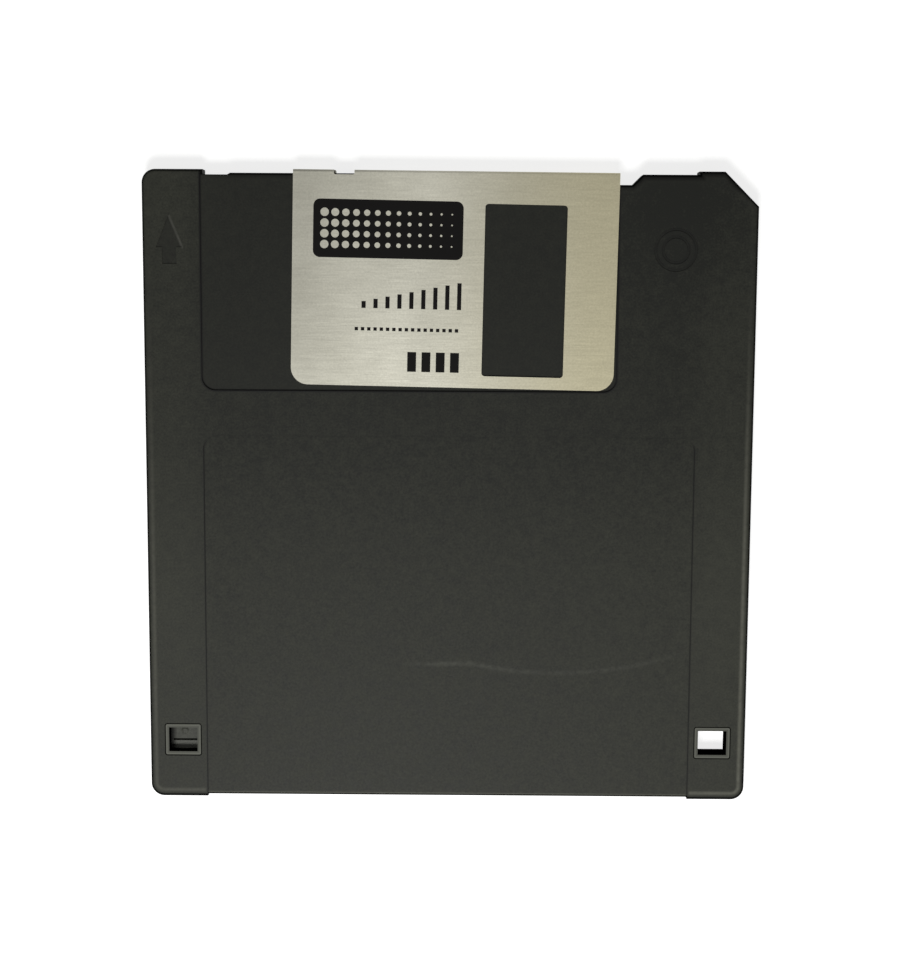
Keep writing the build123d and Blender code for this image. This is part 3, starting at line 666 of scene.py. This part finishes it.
def brushedSteel(name, settings):
    # stainless strip brushed along X: soft streaked highlight, warm grey, with a faint
    # yellow cast to the right, and painted reflections, highlights and shade
    material, tree = newMaterial(name)
    place = addNode(tree, "ShaderNodeTexCoord").outputs["Object"]
    parts = addNode(tree, "ShaderNodeSeparateXYZ", None, {0: place}).outputs
    x, y = parts["X"], parts["Y"]
    along, across = (1 / (settings[key] * mm) for key in ("lineLength", "line"))
    stretched = addNode(tree, "ShaderNodeMapping", None, {
        "Vector": place, "Scale": (along, across, across)})
    lines = addNode(tree, "ShaderNodeTexNoise", None, {
        "Vector": stretched.outputs[0], "Scale": 1.0, "Detail": 5.0,
        "Roughness": 0.7}).outputs[0]
    grit = addNode(tree, "ShaderNodeTexNoise", None, {
        "Vector": place, "Scale": 1 / (settings["grit"] * mm), "Detail": 3.0,
        "Roughness": 0.7}).outputs[0]
    blotches = addNode(tree, "ShaderNodeTexNoise", None, {
        "Vector": place, "Scale": 1 / (settings["blotch"] * mm), "Detail": 3.0,
        "Roughness": 0.55}).outputs[0]
    paleness = addNode(tree, "ShaderNodeMapRange", None, {
        **span(*settings["blotchSpan"]), "Value": blotches}).outputs[0]
    base = tinted(tree, paleness, srgb(settings["colour"]), settings["colourPale"])
    warm = tinted(tree, ramp(tree, x, *settings["warm"]), base, settings["colourWarm"])
    streaked, gritty = (addNode(tree, "ShaderNodeMapRange", None, {
        **noiseSpan, "Value": pattern, "To Min": 1 - depth, "To Max": 1 + depth}).outputs[0]
        for pattern, depth in ((lines, settings["streak"]), (grit, settings["speckle"])))
    # painted reflection: a lighter upright band and spot, darker to the left
    paintedSheen = combine(tree, "ADD", (
        ramp(tree, gapTo(tree, x, settings["sheenMiddle"]), *settings["sheenReach"],
             1.0, 1.0 + settings["sheen"]),
        ramp(tree, x, *settings["left"], 0.0, settings["leftSheen"]),
        ramp(tree, spotDistance(tree, place, settings["spot"]), settings["spotReach"], 0.0,
             0.0, settings["spotSheen"])))
    # painted highlight along the cut edges
    turned = addNode(tree, "ShaderNodeBevel", None, {"Radius": settings["edge"] * mm})
    facing = addNode(tree, "ShaderNodeNewGeometry")
    agreed = addNode(tree, "ShaderNodeVectorMath", {"operation": "DOT_PRODUCT"}, {
        0: turned.outputs[0], 1: facing.outputs["Normal"]})
    cutEdgeHighlight = addNode(tree, "ShaderNodeMapRange", None, {
        **span(*settings["edgeSpan"]), "Value": agreed.outputs["Value"],
        "To Min": 1.0, "To Max": 1.0 + settings["edgeSheen"]}).outputs[0]
    # painted shade on the bend
    folded = ramp(tree, y, *settings["fold"], 1.0, settings["foldShare"])
    colour = addNode(tree, "ShaderNodeVectorMath", {"operation": "SCALE"}, {
        0: warm, "Scale": combine(tree, "MULTIPLY", (
            streaked, gritty, paintedSheen, cutEdgeHighlight, folded))})
    polish = addNode(tree, "ShaderNodeMapRange", None, {
        **noiseSpan, "Value": lines, "To Min": settings["roughness"] - settings["uneven"],
        "To Max": settings["roughness"] + settings["uneven"]})
    bump = addNode(tree, "ShaderNodeBump", None, {
        "Height": lines, "Strength": 1.0, "Distance": settings["lineDepth"] * mm})
    return finishMaterial(material, {
        "Base Color": colour.outputs[0], "Metallic": 1.0, "Roughness": polish.outputs[0],
        "Normal": bump.outputs[0]})


shutterSteel = brushedSteel("brushed_stainless_shutter", steel)

hubLook = {
    "colour": "#c3c2bd",
    "roughness": (0.24, 0.4),
    "smear": 5.0,  # mm, over which the roughness changes
    "ring": 0.35,  # mm between turned rings
    "ringDepth": 0.0015,  # mm
}
springLook = {**hubLook, "colour": "#a9a7a0", "roughness": (0.22, 0.38),
              "ringDepth": 0.0005}


def pressedSteel(name, settings):
    # bright stainless: the hub is pressed from strip and turned flat, which leaves fine
    # rings round its middle; on the spring's drawn wire they are hardly there
    material, tree = newMaterial(name)
    place = addNode(tree, "ShaderNodeTexCoord").outputs["Object"]
    low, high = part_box("hub")
    middle = (low + high) / 2 / mm
    rings = addNode(tree, "ShaderNodeTexNoise", {"noise_dimensions": "1D"}, {
        "W": spotDistance(tree, place, middle.xy), "Scale": 1 / (settings["ring"] * mm),
        "Detail": 4.0, "Roughness": 0.7})
    smear = addNode(tree, "ShaderNodeTexNoise", None, {
        "Vector": place, "Scale": 1 / (settings["smear"] * mm), "Detail": 3.0})
    polish = addNode(tree, "ShaderNodeMapRange", None, {
        **noiseSpan, "Value": smear.outputs[0], "To Min": settings["roughness"][0],
        "To Max": settings["roughness"][1]})
    bump = addNode(tree, "ShaderNodeBump", None, {
        "Height": rings.outputs[0], "Distance": settings["ringDepth"] * mm})
    return finishMaterial(material, {
        "Base Color": srgb(settings["colour"]), "Metallic": 1.0,
        "Roughness": polish.outputs[0], "Normal": bump.outputs[0]})


hubSteel = pressedSteel("pressed_stainless_hub", hubLook)
springSteel = pressedSteel("drawn_spring_wire", springLook)

film = {
    "colour": "#2b211b",
    "tones": (0.85, 1.15),
    "roughness": 0.2,
    "ior": 1.6,
    "track": 0.5,  # mm
    "trackDepth": 0.0006,  # mm
}


def coatedFilm(name, settings):
    # polyester film coated with oxide and calendered: dark brown, glossy, with a faint
    # concentric figure from the heads
    material, tree = newMaterial(name)
    place = addNode(tree, "ShaderNodeTexCoord").outputs["Object"]
    low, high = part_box("magnetic_disk")
    middle = (low + high) / 2 / mm
    tracks = addNode(tree, "ShaderNodeTexNoise", {"noise_dimensions": "1D"}, {
        "W": spotDistance(tree, place, middle.xy), "Scale": 1 / (settings["track"] * mm),
        "Detail": 5.0, "Roughness": 0.75}).outputs[0]
    bump = addNode(tree, "ShaderNodeBump", None, {
        "Height": tracks, "Distance": settings["trackDepth"] * mm})
    return finishMaterial(material, {
        "Base Color": toned(tree, settings["colour"], tracks, settings["tones"]),
        "Roughness": settings["roughness"], "IOR": settings["ior"],
        "Normal": bump.outputs[0]})


magneticFilm = coatedFilm("coated_polyester_film", film)

softTones = (0.92, 1.06)  # how dark and how bright the bloom makes them
glueLook = {"colour": "#c9bd95", "roughness": 0.35, "ior": 1.47, "specular": 0.5,
            "grain": 0.8, "grainHeight": 0.004}  # mm
leafLook = {"colour": "#cfd2cf", "roughness": 0.3, "ior": 1.58, "specular": 0.5,
            "grain": 1.5, "grainHeight": 0.002}
wearLook = {"colour": "#e4e3dc", "roughness": 0.45, "ior": 1.51, "specular": 0.5,
            "grain": 0.6, "grainHeight": 0.003}
inkLook = {"colour": "#0c0b0a", "roughness": 0.6, "ior": 1.5, "specular": 0.08,
           "grain": 0.5, "grainHeight": 0.002}


def softPlastic(name, settings):
    # thin plastic, adhesive or ink with a slight bloom
    material, tree = newMaterial(name)
    place = addNode(tree, "ShaderNodeTexCoord").outputs["Object"]
    bloom = addNode(tree, "ShaderNodeTexNoise", None, {
        "Vector": place, "Scale": 1 / (settings["grain"] * mm), "Detail": 3.0}).outputs[0]
    bump = addNode(tree, "ShaderNodeBump", None, {
        "Height": bloom, "Distance": settings["grainHeight"] * mm})
    return finishMaterial(material, {
        "Base Color": toned(tree, settings["colour"], bloom, softTones),
        "Roughness": settings["roughness"], "IOR": settings["ior"],
        "Specular IOR Level": settings["specular"], "Normal": bump.outputs[0]})


adhesive = softPlastic("acrylic_adhesive_film", glueLook)
lifterFilm = softPlastic("polyester_leaf", leafLook)
wearPlastic = softPlastic("polyethylene_wear_plate", wearLook)
ink = softPlastic("screen_print_ink", inkLook)

felt = {
    "colour": "#e6e4dc",
    "fibre": 0.12,  # mm; real fibres are near 0.02 and wouldn't show
    "fibreLength": 1.6,  # mm
    "fibreHeight": 0.03,  # mm
    "layers": ((0.4, 0.0), (1.5, 3.7), (2.6, 8.1)),  # each one's turn in radians and shift
    "webSpan": (0.45, 0.75),
    "tones": (0.75, 1.05),
    "roughness": 0.95,
    "specular": 0.2,
    "sheen": 0.2,
}


def feltedLiner(name, settings):
    # non-woven rayon: off-white, matt, fibres lying every way
    material, tree = newMaterial(name)
    place = addNode(tree, "ShaderNodeTexCoord").outputs["Object"]
    along, across = (1 / (settings[key] * mm) for key in ("fibreLength", "fibre"))
    heights = []
    for turn, shift in settings["layers"]:
        laid = addNode(tree, "ShaderNodeMapping", None, {
            "Vector": place, "Rotation": (0, 0, turn), "Location": (shift, 0, 0),
            "Scale": (along, across, across)})
        heights.append(addNode(tree, "ShaderNodeTexNoise", None, {
            "Vector": laid.outputs[0], "Scale": 1.0, "Detail": 2.0}).outputs[0])
    web = combine(tree, "MAXIMUM", heights)
    bump = addNode(tree, "ShaderNodeBump", None, {
        "Height": web, "Distance": settings["fibreHeight"] * mm})
    return finishMaterial(material, {
        "Base Color": toned(tree, settings["colour"], web, settings["tones"],
                            span(*settings["webSpan"])),
        "Roughness": settings["roughness"], "Specular IOR Level": settings["specular"],
        "Sheen Weight": settings["sheen"], "Normal": bump.outputs[0]})


linerFabric = feltedLiner("nonwoven_rayon_liner", felt)
print("materials made")


# CAD nodes that are shown as they are

for nodeName, material, slotName in (
    ("front_shell", frontShellAbs, "case_black_abs"),
    ("rear_shell", rearShellAbs, "case_black_abs"),
    ("write_protect_slider", sliderBodyAbs, "slider_abs"),
    ("shutter", shutterSteel, "shutter_steel"),
    ("hub", hubSteel, "hub_steel"),
    ("magnetic_disk", magneticFilm, "magnetic_film"),
    ("hub_adhesive_ring", adhesive, "adhesive"),
    ("lifter", lifterFilm, "lifter_film"),
    ("wear_plate", wearPlastic, "wear_plastic"),
):
    dress(nodes[nodeName], material)
print("solids dressed")


# node trees for what repeats or follows a path

def newTree(name, inputs):
    tree = bpy.data.node_groups.new(name, "GeometryNodeTree")
    tree.interface.new_socket("Geometry", in_out="INPUT", socket_type="NodeSocketGeometry")
    for label, kind in inputs:
        tree.interface.new_socket(label, in_out="INPUT", socket_type="NodeSocket" + kind)
    tree.interface.new_socket("Geometry", in_out="OUTPUT", socket_type="NodeSocketGeometry")
    return tree, addNode(tree, "NodeGroupInput").outputs


def closeTree(tree, shape, material):
    real = addNode(tree, "GeometryNodeRealizeInstances", None, {"Geometry": shape})
    painted = addNode(tree, "GeometryNodeSetMaterial", None, {
        "Geometry": real.outputs[0], "Material": material})
    addNode(tree, "NodeGroupOutput", None, {"Geometry": painted.outputs[0]})


def bake(piece, tree, values):
    # runs the tree on the piece and keeps its result as a plain mesh
    modifier = piece.modifiers.new(tree.name, "NODES")
    modifier.node_group = tree
    for item in tree.interface.items_tree:
        if item.item_type == "SOCKET" and item.in_out == "INPUT" and item.name in values:
            modifier[item.identifier] = values[item.name]
    graph = bpy.context.evaluated_depsgraph_get()
    mesh = bpy.data.meshes.new_from_object(piece.evaluated_get(graph))
    piece.modifiers.remove(modifier)
    mesh.name = piece.name
    piece.data = mesh
    return piece


def thicken(tree, flatShape, thickness):
    # lifts a flat shape into a closed film of that thickness
    raised = addNode(tree, "GeometryNodeExtrudeMesh", None, {
        "Mesh": flatShape, "Offset Scale": thickness, "Individual": False})
    under = addNode(tree, "GeometryNodeFlipFaces", None, {"Mesh": flatShape})
    both = addNode(tree, "GeometryNodeJoinGeometry")
    tree.links.new(raised.outputs["Mesh"], both.inputs[0])
    tree.links.new(under.outputs[0], both.inputs[0])
    return addNode(tree, "GeometryNodeMergeByDistance", None, {
        "Geometry": both.outputs[0], "Distance": 0.001 * mm}).outputs[0]


# printed field on the shutter: a black patch with bare dots that shrink to the right

fieldTree, given = newTree("inkField", [
    ("Width", "Float"), ("Height", "Float"), ("Corner", "Float"), ("Corner Steps", "Int"),
    ("Columns", "Int"), ("Rows", "Int"), ("Pitch", "Float"), ("First Dot", "Float"),
    ("Last Dot", "Float"), ("Dot Sides", "Int"), ("Thickness", "Float"),
    ("Material", "Material")])
patch = addNode(fieldTree, "GeometryNodeCurvePrimitiveQuadrilateral", None, {
    "Width": given["Width"], "Height": given["Height"]})
rounded = addNode(fieldTree, "GeometryNodeFilletCurve", {"mode": "POLY"}, {
    "Curve": patch.outputs[0], "Radius": given["Corner"], "Count": given["Corner Steps"]})
spanX, spanY = (combine(fieldTree, "MULTIPLY", (
    combine(fieldTree, "SUBTRACT", (given[label], 1.0)), given["Pitch"]))
    for label in ("Columns", "Rows"))
spots = addNode(fieldTree, "GeometryNodeMeshGrid", None, {
    "Size X": spanX, "Size Y": spanY,
    "Vertices X": given["Columns"], "Vertices Y": given["Rows"]})
where = addNode(fieldTree, "GeometryNodeInputPosition")
whereX = addNode(fieldTree, "ShaderNodeSeparateXYZ", None, {0: where.outputs[0]})
dotSize = addNode(fieldTree, "ShaderNodeMapRange", None, {
    "Value": whereX.outputs["X"], "From Min": combine(fieldTree, "MULTIPLY", (spanX, -0.5)),
    "From Max": combine(fieldTree, "MULTIPLY", (spanX, 0.5)), "To Min": given["First Dot"],
    "To Max": given["Last Dot"]})
dot = addNode(fieldTree, "GeometryNodeCurvePrimitiveCircle", None, {
    "Resolution": given["Dot Sides"], "Radius": 0.5})
dots = addNode(fieldTree, "GeometryNodeInstanceOnPoints", None, {
    "Points": spots.outputs["Mesh"], "Instance": dot.outputs[0],
    "Scale": dotSize.outputs[0]})
loose = addNode(fieldTree, "GeometryNodeRealizeInstances", None, {
    "Geometry": dots.outputs[0]})
outlines = addNode(fieldTree, "GeometryNodeJoinGeometry")
fieldTree.links.new(rounded.outputs[0], outlines.inputs[0])
fieldTree.links.new(loose.outputs[0], outlines.inputs[0])
filled = addNode(fieldTree, "GeometryNodeFillCurve", None, {"Curve": outlines.outputs[0]})
closeTree(fieldTree, thicken(fieldTree, filled.outputs[0], given["Thickness"]),
          given["Material"])

# printed rows: bars on a line, from a first to a last height

rowTree, given = newTree("inkRow", [
    ("Count", "Int"), ("Pitch", "Float"), ("Bar Width", "Float"),
    ("First Height", "Float"), ("Last Height", "Float"), ("Thickness", "Float"),
    ("Material", "Material")])
step = addNode(rowTree, "ShaderNodeCombineXYZ", None, {"X": given["Pitch"]})
feet = addNode(rowTree, "GeometryNodeMeshLine", None, {
    "Count": given["Count"], "Offset": step.outputs[0]})
number = addNode(rowTree, "GeometryNodeInputIndex")
tall = addNode(rowTree, "ShaderNodeMapRange", None, {
    "Value": number.outputs[0],
    "From Max": combine(rowTree, "SUBTRACT", (given["Count"], 1.0)),
    "To Min": given["First Height"], "To Max": given["Last Height"]})
size = addNode(rowTree, "ShaderNodeCombineXYZ", None, {
    "X": given["Bar Width"], "Y": tall.outputs[0], "Z": 1.0})
rise = addNode(rowTree, "ShaderNodeCombineXYZ", None, {
    "Y": combine(rowTree, "MULTIPLY", (tall.outputs[0], 0.5))})
lifted = addNode(rowTree, "GeometryNodeSetPosition", None, {
    "Geometry": feet.outputs[0], "Offset": rise.outputs[0]})
square = addNode(rowTree, "GeometryNodeMeshGrid", None, {
    "Size X": 1.0, "Size Y": 1.0, "Vertices X": 2, "Vertices Y": 2})
bars = addNode(rowTree, "GeometryNodeInstanceOnPoints", None, {
    "Points": lifted.outputs[0], "Instance": square.outputs["Mesh"],
    "Scale": size.outputs[0]})
flatBars = addNode(rowTree, "GeometryNodeRealizeInstances", None, {
    "Geometry": bars.outputs[0]})
closeTree(rowTree, thicken(rowTree, flatBars.outputs[0], given["Thickness"]),
          given["Material"])

# wire: a round section along the carrier's own edges, its corners eased

wireTree, given = newTree("wire", [
    ("Wire Diameter", "Float"), ("Bend Radius", "Float"), ("Bend Steps", "Int"),
    ("Sides", "Int"), ("Material", "Material")])
route = addNode(wireTree, "GeometryNodeMeshToCurve", None, {"Mesh": given["Geometry"]})
eased = addNode(wireTree, "GeometryNodeFilletCurve", {"mode": "POLY"}, {
    "Curve": route.outputs[0], "Radius": given["Bend Radius"], "Limit Radius": True,
    "Count": given["Bend Steps"]})
section = addNode(wireTree, "GeometryNodeCurvePrimitiveCircle", None, {
    "Resolution": given["Sides"],
    "Radius": combine(wireTree, "MULTIPLY", (given["Wire Diameter"], 0.5))})
drawn = addNode(wireTree, "GeometryNodeCurveToMesh", None, {
    "Curve": eased.outputs[0], "Profile Curve": section.outputs[0], "Fill Caps": True})
smooth = addNode(wireTree, "GeometryNodeSetShadeSmooth", None, {
    "Geometry": drawn.outputs[0]})
closeTree(wireTree, smooth.outputs[0], given["Material"])
print("node trees built")


# shutter print, laid out in the shutter's own plane: X from its centre line, Y from its
# lower edge, both in mm

shutterPlate = {
    "centreX": 0.38,
    "lowerEdge": 15.4,
    "skew": -1.0,  # degrees
    "face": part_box("shutter")[1].z / mm,
}
fieldPrint = {
    "centre": (-9.8, 22.87),
    "Width": 21.9, "Height": 8.45, "Corner": 1.0, "Corner Steps": 8,
    "Columns": 13, "Rows": 4, "Pitch": 1.55,
    "First Dot": 1.25, "Last Dot": 0.25, "Dot Sides": 14, "Thickness": 0.012,
}
rowPrints = {
    "shutterBars": {"end": (1.1, 11.4), "Count": 9, "Pitch": 1.75, "Bar Width": 0.62,
                    "First Height": 1.0, "Last Height": 3.9},
    "shutterDots": {"end": (0.75, 8.1), "Count": 17, "Pitch": 0.92, "Bar Width": 0.5,
                    "First Height": 0.5, "Last Height": 0.5},
    "shutterBlocks": {"end": (0.95, 2.2), "Count": 4, "Pitch": 2.1, "Bar Width": 1.3,
                      "First Height": 2.9, "Last Height": 2.9},
}


def onShutter(x, y):
    # place on the shutter's front plate, in metres
    turn = Matrix.Rotation(math.radians(shutterPlate["skew"]), 4, "Z")
    origin = Vector((shutterPlate["centreX"], shutterPlate["lowerEdge"],
                     shutterPlate["face"])) * mm
    return Matrix.Translation(origin) @ turn @ Matrix.Translation(Vector((x, y, 0)) * mm)


def inMetres(values):
    # lengths are written with a point, counts without
    return {name: value * mm if isinstance(value, float) else value
            for name, value in values.items()}


fieldPiece = bake(newObject("shutterField"), fieldTree, {
    **inMetres(fieldPrint), "Material": ink})
fieldPiece.data.transform(onShutter(*fieldPrint["centre"]))
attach(fieldPiece, "shutter")
for name, values in rowPrints.items():
    row = bake(newObject(name), rowTree, {
        **inMetres(values), "Thickness": fieldPrint["Thickness"] * mm, "Material": ink})
    # the row ends flush right
    right = max(v.co.x for v in row.data.vertices) / mm
    row.data.transform(onShutter(values["end"][0] - right, values["end"][1]))
    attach(row, "shutter")
print("shutter printed")


# shutter spring: the same wire, drawn along the spring's route

spring = {  # mm
    "wire": 0.35,
    "sides": 12,
    "coilRadius": 1.6,
    "coilCentre": (-29.0, 38.3),
    "pitch": 0.38,
    "turns": 1,
    "steps": 40,  # per turn
    "leg": 0.75,
    "bend": 0.3,
    "bendSteps": 4,
}
springLow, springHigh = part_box("shutter_spring")


def springRoute():
    wire = spring["wire"]
    centre = Vector(spring["coilCentre"])
    fixedEnd = Vector((springLow.x / mm + wire / 2, 0))
    movingEnd = Vector((springHigh.x / mm - wire / 2, springHigh.y / mm - wire / 2))
    # the fixed arm's height comes from the solid's own far left end
    left = [v.co for v in nodes["shutter_spring"].data.vertices
            if v.co.x < springLow.x + wire * mm]
    fixedEnd.y = sum(c.y for c in left) / len(left) / mm
    angles = []
    for end, turn in ((fixedEnd, 1), (movingEnd, -1)):
        away = end - centre
        straight = math.sqrt(away.length ** 2 - spring["coilRadius"] ** 2)
        angles.append(math.atan2(away.y, away.x)
                      + turn * math.atan2(straight, spring["coilRadius"]))
    sweep = (angles[1] - angles[0]) % (2 * math.pi) + 2 * math.pi * spring["turns"]
    rise = spring["pitch"] * sweep / (2 * math.pi)
    middle = (springLow.z + springHigh.z) / 2 / mm
    low, high = middle - rise / 2, middle + rise / 2
    count = int(spring["steps"] * sweep / (2 * math.pi))
    points = [Vector((*fixedEnd, low + spring["leg"])), Vector((*fixedEnd, low))]
    for i in range(count + 1):
        a = angles[0] + sweep * i / count
        points.append(Vector((centre.x + spring["coilRadius"] * math.cos(a),
                              centre.y + spring["coilRadius"] * math.sin(a),
                              low + rise * i / count)))
    points += [Vector((*movingEnd, high)), Vector((*movingEnd, high - spring["leg"]))]
    return [p * mm for p in points]


route = springRoute()
carrier = bpy.data.meshes.new("springRoute")
carrier.from_pydata(route, [(i, i + 1) for i in range(len(route) - 1)], [])
springPiece = bake(newObject("springWire", carrier), wireTree, {
    "Wire Diameter": spring["wire"] * mm, "Bend Radius": spring["bend"] * mm,
    "Bend Steps": spring["bendSteps"], "Sides": spring["sides"], "Material": springSteel})
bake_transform(springPiece)
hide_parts("shutter_spring")
print("spring drawn")


# liners: soft rings with a gap for the heads

liner = {
    "bore": 18.0,  # mm, radius
    "gapHalf": 6.0,
    "rings": 26,
    "spokes": 260,
    "wave": 0.02,  # mm
    "waveLength": 6.0,  # mm
}


def makeLiner(name, nodeName, seed):
    low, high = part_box(nodeName)
    middle = (low + high) / 2 / mm
    outer = (high.x - low.x) / 2 / mm
    centreY = low.y / mm + outer
    rings, spokes, bore = liner["rings"], liner["spokes"], liner["bore"]
    across = spokes + 1
    count = (rings + 1) * across
    verts = []
    for level in (high.z / mm - liner["wave"], low.z / mm + liner["wave"]):
        for i in range(rings + 1):
            r = bore + (outer - bore) * i / rings
            edge = math.asin(liner["gapHalf"] / r)
            for j in range(across):
                a = math.pi / 2 + edge + (2 * math.pi - 2 * edge) * j / spokes
                x, y = middle.x + r * math.cos(a), centreY + r * math.sin(a)
                lift = noise.noise(Vector((x, y, seed)) / liner["waveLength"])
                verts.append((x * mm, y * mm, (level + lift * liner["wave"]) * mm))
    faces = []
    for i in range(rings):
        for j in range(spokes):
            a = i * across + j
            faces.append((a, a + across, a + across + 1, a + 1))
            faces.append((a + count, a + 1 + count, a + across + 1 + count, a + across + count))
    border = [i * across for i in range(rings + 1)]
    border += [rings * across + j for j in range(1, across)]
    border += [i * across + spokes for i in range(rings - 1, -1, -1)]
    border += list(range(spokes - 1, 0, -1))
    for a, b in zip(border, border[1:] + border[:1]):
        faces.append((a, a + count, b + count, b))
    mesh = bpy.data.meshes.new(name)
    mesh.from_pydata(verts, [], faces)
    shape = bmesh.new()
    shape.from_mesh(mesh)
    bmesh.ops.recalc_face_normals(shape, faces=shape.faces)
    shape.to_mesh(mesh)
    shape.free()
    mesh.materials.append(linerFabric)
    piece = newObject(name, mesh)
    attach(piece, "case")
    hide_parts(nodeName)
    area = math.pi * (outer ** 2 - bore ** 2) - 2 * liner["gapHalf"] * (outer - bore)
    return piece, (high.x - low.x, high.y - low.y), area * mm * mm


for name, nodeName, below, seed in (("rearLiner", "rear_liner", "rear_shell", 1.0),
                                    ("frontLiner", "front_liner", "front_shell", 9.0)):
    piece, flatSize, area = makeLiner(name, nodeName, seed)
print("liners laid")
